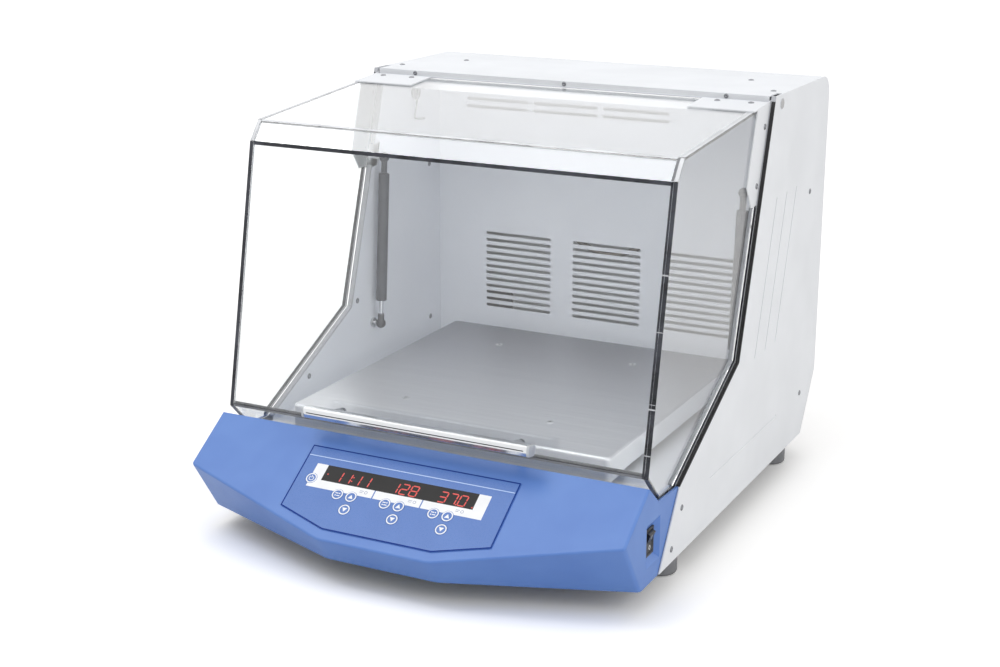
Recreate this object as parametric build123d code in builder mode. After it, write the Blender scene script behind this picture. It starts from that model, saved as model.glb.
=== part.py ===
"""Incubated benchtop shaker: a cabinet with a clear hinged hood over an orbiting tray.

Millimetres, +Z up, +X to the right of someone who faces the controls, +Y to the rear.
The origin is on the bench, under the middle of the whole instrument.
"""
from build123d import *
from math import atan2, cos, degrees, hypot, radians, sin, sqrt, tan
import os

os.makedirs("parts", exist_ok=True)

# ---------------------------------------------------------------- driving sizes
# Cabinet
cabinet_width = 580.0
instrument_depth = 745.0
instrument_height = 532.0
underside_z = 31.0              # gap under the cabinet, filled by the feet
skin = 1.5                      # painted sheet
bend_from_front = 407.7         # where the two straight edges of the opening meet
opening_bend_z = 213.0
opening_lean = radians(17.6)    # upper edge, back from the vertical
opening_rise = radians(26.0)    # lower edge, up from the horizontal
sill_from_front = 211.5         # front end of the lower edge
toe = radians(34.0)             # cut-back ends of the cabinet, and the slope of the controls
rear_bend_z = 112.0
roof_rear_radius = 28.0
roof_skirt = 54.0               # the roof reaches this far down the rear
flange_width = 4.0
corner_radius = 12.0

# Controls housing
housing_inset = 2.0             # in from the cabinet's side
housing_underside_z = 30.0
housing_wall = 3.0
housing_back_z = 145.5          # height of the rear edge of the sloping face
face_reach = 148.3              # slope length in the middle
face_side_reach = 82.0          # slope length at the two sides
face_front_width = 146.0        # width of the middle facet
facet_radius = 40.0
ridge_radius = 3.0
notch_drop_y = 28.5             # the hood dips into a notch behind the sloping face
notch_z = 121.0

# Keypad and switch
foil_thickness = 1.2
key_diameter = 15.0
key_thickness = 0.8
key_clearance = 0.25
key_pitch = 18.4
key_group_pitch = 64.0
key_row_s = -85.0               # places on the sloping face: x, and s up the slope
mode_key_x = -75.2
power_key_x = -119.0
power_key_s = -70.0
key_stem_radius = 2.0
window_width = 203.0
window_height = 21.5
window_x = -5.5
window_s = -58.75
board_depth = 9.0               # circuit board below the sloping face
switch_from_front = 136.5
switch_z = 77.0
switch_width = 23.0
switch_height = 33.0
switch_recess = 6.0
switch_bezel = 2.0
rocker_width = 16.0
rocker_length = 26.0
rocker_tilt = 10.0              # degrees, either side of level

# Clear hood
sheet = 5.0                     # acrylic
hood_inset = 7.5                # in from the cabinet's side
hood_low_from_front = 130.5     # lower front edge
hood_low_z = 152.4
hood_brow_from_front = 194.5    # upper end of the front pane
hood_brow_drop = 53.8           # below the roof
hood_crown_from_front = 213.5   # front end of the top pane
hood_crown_drop = 29.5
hood_top_rise = radians(4.4)
hood_rear_from_hinge = 32.0
hood_rim_z = 118.5
rim_gap = 0.5                   # between the hood and the seal
seal_thickness = 2.2

# Hood hinge and gas struts
hinge_behind_roof = 23.6        # behind the roof's front edge
hinge_drop = 12.0               # below the roof
hinge_pin_radius = 4.0
hinge_clearance = 0.05
bracket_sheet = 1.5
strut_inset = 13.0              # in from the chamber's side wall
strut_foot_behind_bend = 54.8
strut_foot_below_bend = 35.0
strut_head_behind_edge = 8.5    # behind the opening's upper edge
strut_head_drop = 119.5
strut_ball_radius = 5.0
strut_socket_radius = 6.8
strut_neck_radius = 4.2
strut_tube_radius = 7.5
strut_bore_radius = 5.6
strut_rod_radius = 3.0
strut_tube_foot = 33.0          # from the foot's ball to the tube
strut_neck = 22.0               # from the tube to the head's ball
ball_clearance = 0.15

# Handle
handle_length = 304.0
handle_depth = 18.0
handle_height = 13.5
handle_rise = 15.5              # above the lower edge of the front pane
handle_gap = 22.0               # finger room
handle_post_x = 121.0
handle_post_radius = 5.0
handle_screw_radius = 2.5
end_cap_length = 3.0

# Chamber
wall_inset = 18.0               # side wall, in from the cabinet's side
chamber_rear_gap = 84.0         # room for the fan behind the back wall
ceiling_drop = 27.0
deck_z = 112.0
deck_from_front = 146.5
deck_sheet = 2.0
vent_rows = 12
vent_pitch = 10.0
vent_height = 4.6
vent_low_z = 165.8
vent_width = 106.0
vent_column_pitch = 141.0
upper_vent_rows = 3
upper_vent_drop = 46.0          # lowest row below the ceiling
upper_vent_pitch = 11.0
upper_vent_width = 101.0
upper_vent_column_pitch = 108.0

# Tray and its drive
tray_top_z = 152.0
tray_side_gap = 55.0            # to the chamber's side walls
tray_rear_gap = 54.5            # to the chamber's back wall
tray_from_front = 174.5
tray_sheet = 3.0
tray_skirt = 28.0
tray_bend_radius = 4.0
tray_hole_spacing_x = 203.0
tray_hole_spacing_y = 263.0
orbit_radius = 5.0
crank_ahead = 80.0              # crank in front of the tray's middle
idler_behind = 110.0
motor_behind = 132.0
idler_inset = 77.0              # in from the tray's side
crank_shaft_radius = 10.0
crank_pin_radius = 7.0
crank_clearance = 0.05
drive_pulley_radius = 60.0
motor_pulley_radius = 20.0
belt_width = 12.0
belt_thickness = 2.0
belt_middle_z = 89.0

# Air circulation
fan_z = 345.0
fan_radius = 62.0
fan_width = 30.0
fan_blades = 12
heater_radius = 82.0
heater_wire_radius = 4.0

# Screws of the cabinet
screw_shank_radius = 1.9
screw_head_radius = 3.8
screw_head = 1.2
screw_shank = 5.0
panel_screw_inset = 69.5        # from the rear; the other places are measured alike
panel_screw_z = 381.7
panel_low_screw_z = 95.0
sill_screw_behind = 8.0
sill_screw_z = 89.0
toe_screw_ahead = 22.0
toe_screw_z = 48.0
bend_screw_behind = 14.3
bend_screw_above = 6.0
wall_screw_inset = 32.0
wall_screw_low_z = 145.0
wall_screw_high_z = 378.0
front_screw_behind = 85.0
roof_screw_inset = 76.0
roof_screw_back = 109.5
edge_screw_inset = 18.0
edge_screw_back = 192.5

# Feet
foot_radius = 20.0
foot_inset = 28.0               # foot centre in from the cabinet's side
front_foot_from_front = 229.0
rear_foot_from_rear = 100.0

# ---------------------------------------------------------------- shared places
half_width = cabinet_width / 2
skin_x = half_width - skin                        # inner face of a side panel
rear_y = instrument_depth / 2
front_y = -rear_y
rear_toe_y = rear_y - (rear_bend_z - underside_z) * tan(toe)
opening_bend_y = front_y + bend_from_front
sill_y = front_y + sill_from_front
housing_width = cabinet_width - 2 * housing_inset
housing_half = housing_width / 2
hood_half = half_width - hood_inset
hood_inner = hood_half - sheet
hinge_z = instrument_height - hinge_drop
chamber_half_width = half_width - wall_inset
chamber_back_y = rear_y - chamber_rear_gap
chamber_ceiling_z = instrument_height - ceiling_drop
deck_front_y = front_y + deck_from_front
strut_x = chamber_half_width - strut_inset
strut_foot_y = opening_bend_y + strut_foot_behind_bend
strut_foot_z = opening_bend_z - strut_foot_below_bend
strut_head_z = instrument_height - strut_head_drop
switch_y = front_y + switch_from_front
tray_width = 2 * (chamber_half_width - tray_side_gap)
tray_front_y = front_y + tray_from_front
tray_back_y = chamber_back_y - tray_rear_gap
tray_depth = tray_back_y - tray_front_y
tray_center_y = (tray_front_y + tray_back_y) / 2
crank_center_y = tray_center_y - crank_ahead
idler_x = tray_width / 2 - idler_inset
idler_y = tray_center_y + idler_behind
motor_y = tray_center_y + motor_behind


def upper_edge_y(z, ahead=0.0):
    """y on the opening's upper edge at height z, moved ahead square to the edge."""
    return opening_bend_y + (z - opening_bend_z) * tan(opening_lean) - ahead / cos(opening_lean)


def lower_edge_z(y, ahead=0.0):
    """z on the opening's lower edge at y, moved ahead square to the edge."""
    return opening_bend_z + (y - opening_bend_y) * tan(opening_rise) + ahead / cos(opening_rise)


def lower_edge_y(z, ahead=0.0):
    """y on the opening's lower edge at height z, moved ahead square to the edge."""
    return opening_bend_y + (z - opening_bend_z - ahead / cos(opening_rise)) / tan(opening_rise)


def opening_bend(ahead=0.0):
    """The corner of the opening's two edges, both moved ahead square to themselves."""
    share = ahead / (1 + sin(opening_lean + opening_rise))
    move_y = -cos(opening_lean) - sin(opening_rise)
    move_z = sin(opening_lean) + cos(opening_rise)
    return (opening_bend_y + share * move_y, opening_bend_z + share * move_z)


sill_z = lower_edge_z(sill_y)
toe_front_y = sill_y - (sill_z - underside_z) * tan(toe)
roof_front_y = upper_edge_y(instrument_height)
hinge_y = roof_front_y + hinge_behind_roof
strut_head_y = upper_edge_y(strut_head_z) + strut_head_behind_edge
ridge_pull = ridge_radius * (cos(toe) + sin(toe) - 1)
face_back_y = -rear_y - ridge_pull + face_reach * cos(toe)
notch_y = face_back_y + notch_drop_y
hood_low_y = front_y + hood_low_from_front
hood_crown_y = front_y + hood_crown_from_front
hood_crown_z = instrument_height - hood_crown_drop
hood_rear_y = hinge_y - hood_rear_from_hinge
face_plane = Plane(
    origin=(0, face_back_y, housing_back_z),
    x_dir=(1, 0, 0),
    z_dir=(0, -sin(toe), cos(toe)),
)


def hood_top_z(y):
    """Upper surface of the hood's top pane at y."""
    return hood_crown_z + (y - hood_crown_y) * tan(hood_top_rise)


hood_outline = [
    (lower_edge_y(hood_rim_z, seal_thickness + rim_gap), hood_rim_z),
    (hood_low_y + (hood_low_z - hood_rim_z), hood_rim_z),
    (hood_low_y, hood_low_z),
    (front_y + hood_brow_from_front, instrument_height - hood_brow_drop),
    (hood_crown_y, hood_crown_z),
    (hood_rear_y, hood_top_z(hood_rear_y)),
]


def inner_corner(before, corner, after, depth):
    """The corner of an outline moved inwards by a sheet's thickness, to the right of travel."""
    length_in = hypot(corner[0] - before[0], corner[1] - before[1])
    length_out = hypot(after[0] - corner[0], after[1] - corner[1])
    in_y, in_z = (corner[0] - before[0]) / length_in, (corner[1] - before[1]) / length_in
    out_y, out_z = (after[0] - corner[0]) / length_out, (after[1] - corner[1]) / length_out
    share = depth / (1 + in_y * out_y + in_z * out_z)
    return (corner[0] + share * (in_z + out_z), corner[1] - share * (in_y + out_y))


side_screw_places = [
    (rear_y - panel_screw_inset, panel_screw_z),
    (rear_y - panel_screw_inset, panel_low_screw_z),
    (sill_y + sill_screw_behind, sill_screw_z),
    (sill_y - toe_screw_ahead, toe_screw_z),
]
wall_screw_places = [
    (opening_bend_y + bend_screw_behind, opening_bend_z + bend_screw_above),
    (chamber_back_y - wall_screw_inset, wall_screw_low_z),
    (chamber_back_y - wall_screw_inset, wall_screw_high_z),
    (sill_y + front_screw_behind, wall_screw_low_z),
]
roof_screw_places = [
    (side * (half_width - inset), rear_y - from_rear)
    for side in (-1, 1)
    for inset, from_rear in ((roof_screw_inset, roof_screw_back), (edge_screw_inset, edge_screw_back))
]
lip_screw_pitch = 225.0

# ---------------------------------------------------------------- cabinet
pan_slot_length = 90.0
pan_slot_width = 6.0
pan_slot_pitch = 16.0
pan_slot_row_pitch = 198.0
pan_slot_y = 60.0

pan_front_y = toe_front_y + skin * tan(toe)
pan_back_y = rear_toe_y - skin / cos(toe)

with BuildPart() as base_pan:
    with BuildSketch(Plane.XY.offset(underside_z)):
        with Locations((0, (pan_front_y + pan_back_y) / 2)):
            Rectangle(2 * skin_x, pan_back_y - pan_front_y)
        with Locations((0, pan_slot_y)):
            with GridLocations(pan_slot_row_pitch, pan_slot_pitch, 2, 4):
                SlotOverall(pan_slot_length, pan_slot_width, mode=Mode.SUBTRACT)
    extrude(amount=skin)
base_pan.part.label = "base_pan"
export_step(base_pan.part, "parts/base_pan.step")

line_length = 208.0
line_pitch = 41.5
line_mid_z = 301.0
line_first_back = 64.0             # first line behind the opening's upper edge
press_width = 2.2
press_depth = 0.6
crease_length = 258.0
crease_y = 70.0
crease_width = 3.2
crease_z = 94.0

with BuildPart() as right_side_panel:
    with BuildSketch(Plane.YZ.offset(skin_x)):
        with BuildLine():
            Polyline(
                (toe_front_y, underside_z),
                (sill_y, sill_z),
                opening_bend(),
                (roof_front_y, instrument_height),
                (rear_y, instrument_height),
                (rear_y, rear_bend_z),
                (rear_toe_y, underside_z),
                close=True,
            )
        make_face()
        fillet(vertices().group_by(Axis.X)[-1].sort_by(Axis.Y)[-1], roof_rear_radius)
        fillet(vertices().group_by(Axis.X)[-1].sort_by(Axis.Y)[0], corner_radius)
    extrude(amount=skin)
    with BuildSketch(Plane.YZ.offset(skin_x - flange_width)):
        with BuildLine():
            Polyline(
                (sill_y, sill_z),
                opening_bend(),
                (roof_front_y, instrument_height),
                (roof_front_y + skin / cos(opening_lean), instrument_height),
                opening_bend(-skin),
                (sill_y, lower_edge_z(sill_y, -skin)),
                close=True,
            )
        make_face()
    extrude(amount=flange_width)
    with BuildSketch(Plane.YZ.offset(half_width)):
        for index in range(3):
            line_y = upper_edge_y(line_mid_z) + line_first_back + index * line_pitch
            with Locations((line_y, line_mid_z)):
                SlotOverall(line_length, press_width, rotation=90 - degrees(opening_lean))
        with Locations((crease_y, crease_z)):
            SlotOverall(crease_length, crease_width)
    extrude(amount=-press_depth, mode=Mode.SUBTRACT)
    with BuildSketch(Plane.YZ.offset(skin_x)):
        with Locations((hinge_y, hinge_z)):
            Circle(hinge_pin_radius)
        with Locations(*side_screw_places):
            Circle(screw_shank_radius)
    extrude(amount=skin, mode=Mode.SUBTRACT)
right_side_panel.part.label = "right_side_panel"
export_step(right_side_panel.part, "parts/right_side_panel.step")

with BuildPart() as left_side_panel:
    mirror(right_side_panel.part, about=Plane.YZ)
left_side_panel.part.label = "left_side_panel"
export_step(left_side_panel.part, "parts/left_side_panel.step")

lip_drop = 7.0
lip_z = instrument_height - lip_drop
roof_lip_y = upper_edge_y(lip_z)
seam_z = instrument_height - roof_skirt
arm_slot_x = hood_half - 1.0       # inner side of the slot for a hinge arm
arm_slot_end_y = hinge_y + 6.0

with BuildPart() as roof_cover:
    with BuildSketch(Plane.YZ.offset(-skin_x)):
        with BuildLine():
            Polyline(
                (roof_lip_y, seam_z),
                (roof_lip_y, instrument_height),
                (rear_y, instrument_height),
                (rear_y, seam_z),
                close=True,
            )
        make_face()
        fillet(vertices().group_by(Axis.X)[-1].sort_by(Axis.Y)[-1], roof_rear_radius)
    extrude(amount=2 * skin_x)
    with BuildSketch(Plane.YZ.offset(-skin_x)):
        with BuildLine():
            Polyline(
                (roof_lip_y + skin, seam_z),
                (roof_lip_y + skin, instrument_height - skin),
                (rear_y - skin, instrument_height - skin),
                (rear_y - skin, seam_z),
                close=True,
            )
        make_face()
        fillet(vertices().group_by(Axis.X)[-1].sort_by(Axis.Y)[-1], roof_rear_radius - skin)
    extrude(amount=2 * skin_x, mode=Mode.SUBTRACT)
    with BuildSketch(Plane.XZ.offset(-roof_lip_y - skin)):
        with Locations((0, (seam_z + lip_z) / 2)):
            Rectangle(2 * skin_x, lip_z - seam_z)
    extrude(amount=skin, mode=Mode.SUBTRACT)
    with BuildSketch(Plane.XY.offset(instrument_height)):
        with Locations((0, (roof_lip_y + arm_slot_end_y) / 2)):
            with GridLocations(arm_slot_x + skin_x, 1, 2, 1):
                Rectangle(skin_x - arm_slot_x, arm_slot_end_y - roof_lip_y)
    extrude(amount=-lip_drop, mode=Mode.SUBTRACT)
    with BuildSketch(Plane.XY.offset(instrument_height)):
        with Locations(*roof_screw_places):
            Circle(screw_shank_radius)
    extrude(amount=-skin, mode=Mode.SUBTRACT)
    with BuildSketch(Plane.XZ.offset(-roof_lip_y)):
        with Locations((0, instrument_height - lip_drop / 2)):
            with GridLocations(lip_screw_pitch, 1, 3, 1):
                Circle(screw_shank_radius)
    extrude(amount=-skin, mode=Mode.SUBTRACT)
roof_cover.part.label = "roof_cover"
export_step(roof_cover.part, "parts/roof_cover.step")

inlet_from_side = 75.0
inlet_x = inlet_from_side - half_width
inlet_z = 150.0
inlet_width = 28.0
inlet_height = 20.5
rear_slot_rows = 8
rear_slot_pitch = 11.0
rear_slot_length = 60.0
rear_slot_width = 5.0
rear_slot_spacing = 70.0

with BuildPart() as rear_panel:
    with BuildSketch(Plane.YZ.offset(-skin_x)):
        with BuildLine():
            Polyline(
                (rear_y, seam_z),
                (rear_y, rear_bend_z),
                (rear_toe_y, underside_z),
                (pan_back_y, underside_z),
                (rear_y - skin, rear_bend_z + skin * tan(toe / 2)),
                (rear_y - skin, seam_z),
                close=True,
            )
        make_face()
        fillet(vertices().group_by(Axis.X)[-2].sort_by(Axis.Y)[0], corner_radius - skin)
        fillet(vertices().group_by(Axis.X)[-1].sort_by(Axis.Y)[0], corner_radius)
    extrude(amount=2 * skin_x)
    with BuildSketch(Plane.XZ.offset(-rear_y)):
        with Locations((inlet_x, inlet_z)):
            Rectangle(inlet_width, inlet_height)
        with Locations((0, fan_z)):
            with GridLocations(rear_slot_spacing, rear_slot_pitch, 2, rear_slot_rows):
                SlotOverall(rear_slot_length, rear_slot_width)
    extrude(amount=skin, mode=Mode.SUBTRACT)
rear_panel.part.label = "rear_panel"
export_step(rear_panel.part, "parts/rear_panel.step")

# ---------------------------------------------------------------- chamber
wall_outer = chamber_half_width + skin
stud_notch_low_z = strut_head_z - 12.5
stud_notch_high_z = strut_head_z + 17.5
stud_notch_depth = 15.0
strip_low_end_z = stud_notch_low_z + 3.0

with BuildPart() as chamber_right_wall:
    with BuildSketch(Plane.YZ.offset(chamber_half_width)):
        with BuildLine():
            Polyline(
                (sill_y, deck_z),
                (sill_y, sill_z),
                opening_bend(),
                (upper_edge_y(stud_notch_low_z), stud_notch_low_z),
                (upper_edge_y(stud_notch_low_z) + stud_notch_depth, stud_notch_low_z),
                (upper_edge_y(stud_notch_high_z) + stud_notch_depth, stud_notch_high_z),
                (upper_edge_y(stud_notch_high_z), stud_notch_high_z),
                (roof_lip_y, lip_z),
                (chamber_back_y, lip_z),
                (chamber_back_y, deck_z),
                close=True,
            )
        make_face()
        with Locations(*wall_screw_places):
            Circle(screw_shank_radius, mode=Mode.SUBTRACT)
    extrude(amount=skin)
chamber_right_wall.part.label = "chamber_right_wall"
export_step(chamber_right_wall.part, "parts/chamber_right_wall.step")

with BuildPart() as chamber_left_wall:
    mirror(chamber_right_wall.part, about=Plane.YZ)
chamber_left_wall.part.label = "chamber_left_wall"
export_step(chamber_left_wall.part, "parts/chamber_left_wall.step")

upper_vent_x = -68.5
upper_vent_z = chamber_ceiling_z - upper_vent_drop
vent_middle_z = vent_low_z + (vent_rows - 1) * vent_pitch / 2
upper_vent_middle_z = upper_vent_z + (upper_vent_rows - 1) * upper_vent_pitch / 2

with BuildPart() as chamber_back_wall:
    with BuildSketch(Plane.XZ.offset(-chamber_back_y)):
        with Locations((0, (deck_z + chamber_ceiling_z + skin) / 2)):
            Rectangle(2 * wall_outer, chamber_ceiling_z + skin - deck_z)
        with Locations((0, vent_middle_z)):
            with GridLocations(vent_column_pitch, vent_pitch, 3, vent_rows):
                SlotOverall(vent_width, vent_height, mode=Mode.SUBTRACT)
        with Locations((upper_vent_x, upper_vent_middle_z)):
            with GridLocations(upper_vent_column_pitch, upper_vent_pitch, 3, upper_vent_rows):
                SlotOverall(upper_vent_width, vent_height, mode=Mode.SUBTRACT)
    extrude(amount=-skin)
chamber_back_wall.part.label = "chamber_back_wall"
export_step(chamber_back_wall.part, "parts/chamber_back_wall.step")

ceiling_front_y = upper_edge_y(chamber_ceiling_z)

with BuildPart() as chamber_ceiling:
    with BuildSketch(Plane.YZ.offset(-chamber_half_width)):
        with BuildLine():
            Polyline(
                (ceiling_front_y, chamber_ceiling_z),
                (chamber_back_y, chamber_ceiling_z),
                (chamber_back_y, chamber_ceiling_z + skin),
                (upper_edge_y(chamber_ceiling_z + skin, -skin), chamber_ceiling_z + skin),
                (upper_edge_y(lip_z, -skin), lip_z),
                (roof_lip_y, lip_z),
                close=True,
            )
        make_face()
    extrude(amount=2 * chamber_half_width)
chamber_ceiling.part.label = "chamber_ceiling"
export_step(chamber_ceiling.part, "parts/chamber_ceiling.step")

crank_disc_radius = 24.0
deck_hole_radius = 16.0
deck_leg_from_sill = 11.0
pan_top_z = underside_z + skin
crank_places = [(0, crank_center_y), (-idler_x, idler_y), (idler_x, idler_y)]
deck_leg_front_y = sill_y + deck_leg_from_sill
deck_back_y = chamber_back_y + skin

with BuildPart() as chamber_floor:
    with BuildSketch(Plane.XY.offset(deck_z)):
        with Locations((0, (deck_front_y + deck_back_y) / 2)):
            Rectangle(2 * wall_outer, deck_back_y - deck_front_y)
        with Locations(*crank_places):
            Circle(deck_hole_radius, mode=Mode.SUBTRACT)
    extrude(amount=-deck_sheet)
    with BuildSketch(Plane.XY.offset(deck_z - deck_sheet)):
        with Locations((0, (deck_leg_front_y + deck_back_y) / 2)):
            with GridLocations(2 * wall_outer - deck_sheet, 1, 2, 1):
                Rectangle(deck_sheet, deck_back_y - deck_leg_front_y)
    extrude(amount=-(deck_z - deck_sheet - pan_top_z))
chamber_floor.part.label = "chamber_floor"
export_step(chamber_floor.part, "parts/chamber_floor.step")

# ---------------------------------------------------------------- seal of the opening
seal_top_low_z = lip_z - 8.0
seal_top_high_z = lip_z - 0.5

with BuildPart() as opening_gasket:
    with BuildSketch(Plane.YZ.offset(skin_x - flange_width)):
        with BuildLine():
            Polyline(
                (sill_y, sill_z),
                opening_bend(),
                (roof_front_y, instrument_height),
                (upper_edge_y(instrument_height, seal_thickness), instrument_height),
                opening_bend(seal_thickness),
                (sill_y, lower_edge_z(sill_y, seal_thickness)),
                close=True,
            )
        make_face()
    extrude(amount=flange_width + skin)
    with BuildSketch(Plane.YZ.offset(chamber_half_width)):
        with BuildLine():
            Polyline(
                (sill_y, sill_z),
                opening_bend(),
                (upper_edge_y(strip_low_end_z), strip_low_end_z),
                (upper_edge_y(strip_low_end_z, seal_thickness), strip_low_end_z),
                opening_bend(seal_thickness),
                (sill_y, lower_edge_z(sill_y, seal_thickness)),
                close=True,
            )
        make_face()
        with BuildLine():
            Polyline(
                (upper_edge_y(stud_notch_high_z), stud_notch_high_z),
                (roof_lip_y, lip_z),
                (upper_edge_y(lip_z, seal_thickness), lip_z),
                (upper_edge_y(stud_notch_high_z, seal_thickness), stud_notch_high_z),
                close=True,
            )
        make_face()
    extrude(amount=arm_slot_x - chamber_half_width)
    mirror(about=Plane.YZ)
    with BuildSketch(Plane.YZ.offset(-chamber_half_width)):
        with BuildLine():
            Polyline(
                (upper_edge_y(seal_top_low_z), seal_top_low_z),
                (upper_edge_y(seal_top_high_z), seal_top_high_z),
                (upper_edge_y(seal_top_high_z, seal_thickness), seal_top_high_z),
                (upper_edge_y(seal_top_low_z, seal_thickness), seal_top_low_z),
                close=True,
            )
        make_face()
    extrude(amount=2 * chamber_half_width)
opening_gasket.part.label = "opening_gasket"
export_step(opening_gasket.part, "parts/opening_gasket.step")

# ---------------------------------------------------------------- controls housing
prism_reach = 2 * face_reach       # deeper than the whole housing


def on_face(s, depth):
    """y and z of the place s up the slope and depth below the sloping face."""
    return (
        face_back_y + s * cos(toe) + depth * sin(toe),
        housing_back_z + s * sin(toe) - depth * cos(toe),
    )


def down_front(s, depth, z):
    """Where the line square to the slope through a place reaches height z."""
    start_y, start_z = on_face(s, depth)
    return (start_y + (start_z - z) * tan(toe), z)


housing_plan = [
    (housing_half, prism_reach),
    (housing_half, -face_side_reach),
    (face_front_width / 2, -face_reach),
    (-face_front_width / 2, -face_reach),
    (-housing_half, -face_side_reach),
    (-housing_half, prism_reach),
]
drop_foot_y = face_back_y + housing_back_z - deck_z
drop_wall_y = housing_wall * sqrt(2)
under_ridge_s = -housing_wall * (sqrt(2) + sin(toe) - cos(toe)) / (sin(toe) + cos(toe))

with BuildPart() as housing_core:
    with BuildSketch(Plane.YZ.offset(-housing_half)):
        with BuildLine():
            Polyline(
                on_face(housing_wall - face_reach, housing_wall),
                on_face(under_ridge_s, housing_wall),
                (drop_foot_y - drop_wall_y, deck_z),
                (0, deck_z),
                (0, 0),
                down_front(housing_wall - face_reach, housing_wall, 0),
                close=True,
            )
        make_face()
    extrude(amount=housing_width)
    with BuildSketch(face_plane):
        with BuildLine():
            Polyline(*housing_plan, close=True)
        make_face()
        offset(amount=-housing_wall, kind=Kind.INTERSECTION)
    extrude(amount=-prism_reach, mode=Mode.INTERSECT)

key_centers = [(power_key_x, power_key_s)]
for group in range(3):
    group_x = mode_key_x + group * key_group_pitch
    key_centers.append((group_x, key_row_s))
    key_centers.append((group_x + key_pitch, key_row_s))
    key_centers.append((group_x + key_pitch, key_row_s - key_pitch))

pocket_floor_x = housing_half - switch_recess
pocket_rim_width = 41.0
pocket_rim_height = 52.0
pocket_floor_width = 26.0
pocket_floor_height = 36.0
pocket_wall = 2.0
body_width = switch_width - 2.2
body_height = switch_height - 3.2
snap_clearance = 0.2
cheek_radius = 6.0
window_frame_gap = 0.5

with BuildPart() as front_housing:
    with BuildSketch(Plane.YZ.offset(-housing_half)):
        with BuildLine():
            Polyline(
                on_face(-face_reach, 0),
                (face_back_y, housing_back_z),
                (notch_y, notch_z),
                (sill_y, sill_z),
                (toe_front_y, underside_z),
                (toe_front_y - (underside_z - housing_underside_z) * tan(toe), housing_underside_z),
                down_front(-face_reach, 0, housing_underside_z),
                close=True,
            )
        make_face()
    extrude(amount=housing_width)
    with BuildSketch(face_plane):
        with BuildLine():
            Polyline(*housing_plan, close=True)
        make_face()
        fillet(vertices().group_by(Axis.Y)[1], cheek_radius)
        fillet(vertices().group_by(Axis.Y)[0], facet_radius)
    extrude(amount=-prism_reach, mode=Mode.INTERSECT)
    slope = front_housing.faces().filter_by(face_plane).sort_by(SortBy.AREA)[-1]
    fillet(slope.edges().sort_by(Axis.Y)[:-1], ridge_radius)
    add(housing_core.part, mode=Mode.SUBTRACT)
    with BuildSketch(Plane.YZ.offset(housing_wall - housing_half)):
        with BuildLine():
            Polyline(
                (face_back_y, housing_back_z),
                (drop_foot_y, deck_z),
                (0, deck_z),
                (0, housing_back_z),
                close=True,
            )
        make_face()
    extrude(amount=housing_width - 2 * housing_wall, mode=Mode.SUBTRACT)
    with BuildSketch(Plane.YZ.offset(pocket_floor_x - pocket_wall)):
        with Locations((switch_y, switch_z)):
            Rectangle(pocket_rim_width + 2 * pocket_wall, pocket_rim_height + 2 * pocket_wall)
    extrude(amount=switch_recess + pocket_wall)
    with BuildSketch(Plane.YZ.offset(pocket_floor_x)):
        with Locations((switch_y, switch_z)):
            Rectangle(pocket_floor_width, pocket_floor_height)
    with BuildSketch(Plane.YZ.offset(housing_half)):
        with Locations((switch_y, switch_z)):
            Rectangle(pocket_rim_width, pocket_rim_height)
    loft(mode=Mode.SUBTRACT)
    with BuildSketch(Plane.YZ.offset(pocket_floor_x)):
        with Locations((switch_y, switch_z)):
            Rectangle(body_width + 2 * snap_clearance, body_height + 2 * snap_clearance)
    extrude(amount=-pocket_wall, mode=Mode.SUBTRACT)
    with BuildSketch(face_plane):
        with Locations(*key_centers):
            Circle(key_stem_radius + key_clearance)
        with Locations((window_x, window_s)):
            Rectangle(window_width + 2 * window_frame_gap, window_height + 2 * window_frame_gap)
    extrude(amount=-housing_wall, mode=Mode.SUBTRACT)
front_housing.part.label = "front_housing"
export_step(front_housing.part, "parts/front_housing.step")

foil_half = 139.5
foil_back_s = -23.5
foil_side_s = -114.0
foil_front_s = -134.4
foil_front_half = 72.0
foil_corner_radius = 3.0

with BuildPart() as control_foil:
    with BuildSketch(face_plane):
        with BuildLine():
            Polyline(
                (-foil_half, foil_back_s),
                (foil_half, foil_back_s),
                (foil_half, foil_side_s),
                (foil_front_half, foil_front_s),
                (-foil_front_half, foil_front_s),
                (-foil_half, foil_side_s),
                close=True,
            )
        make_face()
        fillet(vertices(), foil_corner_radius)
        with Locations(*key_centers):
            Circle(key_diameter / 2 + key_clearance, mode=Mode.SUBTRACT)
    extrude(amount=foil_thickness)
control_foil.part.label = "control_foil"
export_step(control_foil.part, "parts/control_foil.step")

key_names = [
    "key_power",
    "key_time_mode",
    "key_time_up",
    "key_time_down",
    "key_speed_mode",
    "key_speed_up",
    "key_speed_down",
    "key_temperature_mode",
    "key_temperature_up",
    "key_temperature_down",
]
key_lift = 0.6                     # underside of a key cap above the sloping face
key_edge = 0.2
tact_side = 6.0
tact_height = 3.8
stem_gap = 0.6                     # under a stem, before its tact switch

for key_name, key_center in zip(key_names, key_centers):
    with BuildPart() as key_cap:
        with BuildSketch(face_plane.offset(key_lift)):
            with Locations(key_center):
                Circle(key_diameter / 2)
        extrude(amount=key_thickness)
        chamfer(key_cap.edges().filter_by(GeomType.CIRCLE).sort_by(Axis.Z)[-1], key_edge)
        with BuildSketch(face_plane.offset(key_lift)):
            with Locations(key_center):
                Circle(key_stem_radius)
        extrude(amount=-(key_lift + board_depth - tact_height - stem_gap))
    key_cap.part.label = key_name
    export_step(key_cap.part, f"parts/{key_name}.step")

board_width = 247.0
board_length = 74.0
board_x = -7.0
board_s = -80.0
board_sheet = 1.6
board_corner_radius = 2.0
board_post_radius = 3.0
board_post_inset = 4.0

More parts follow.
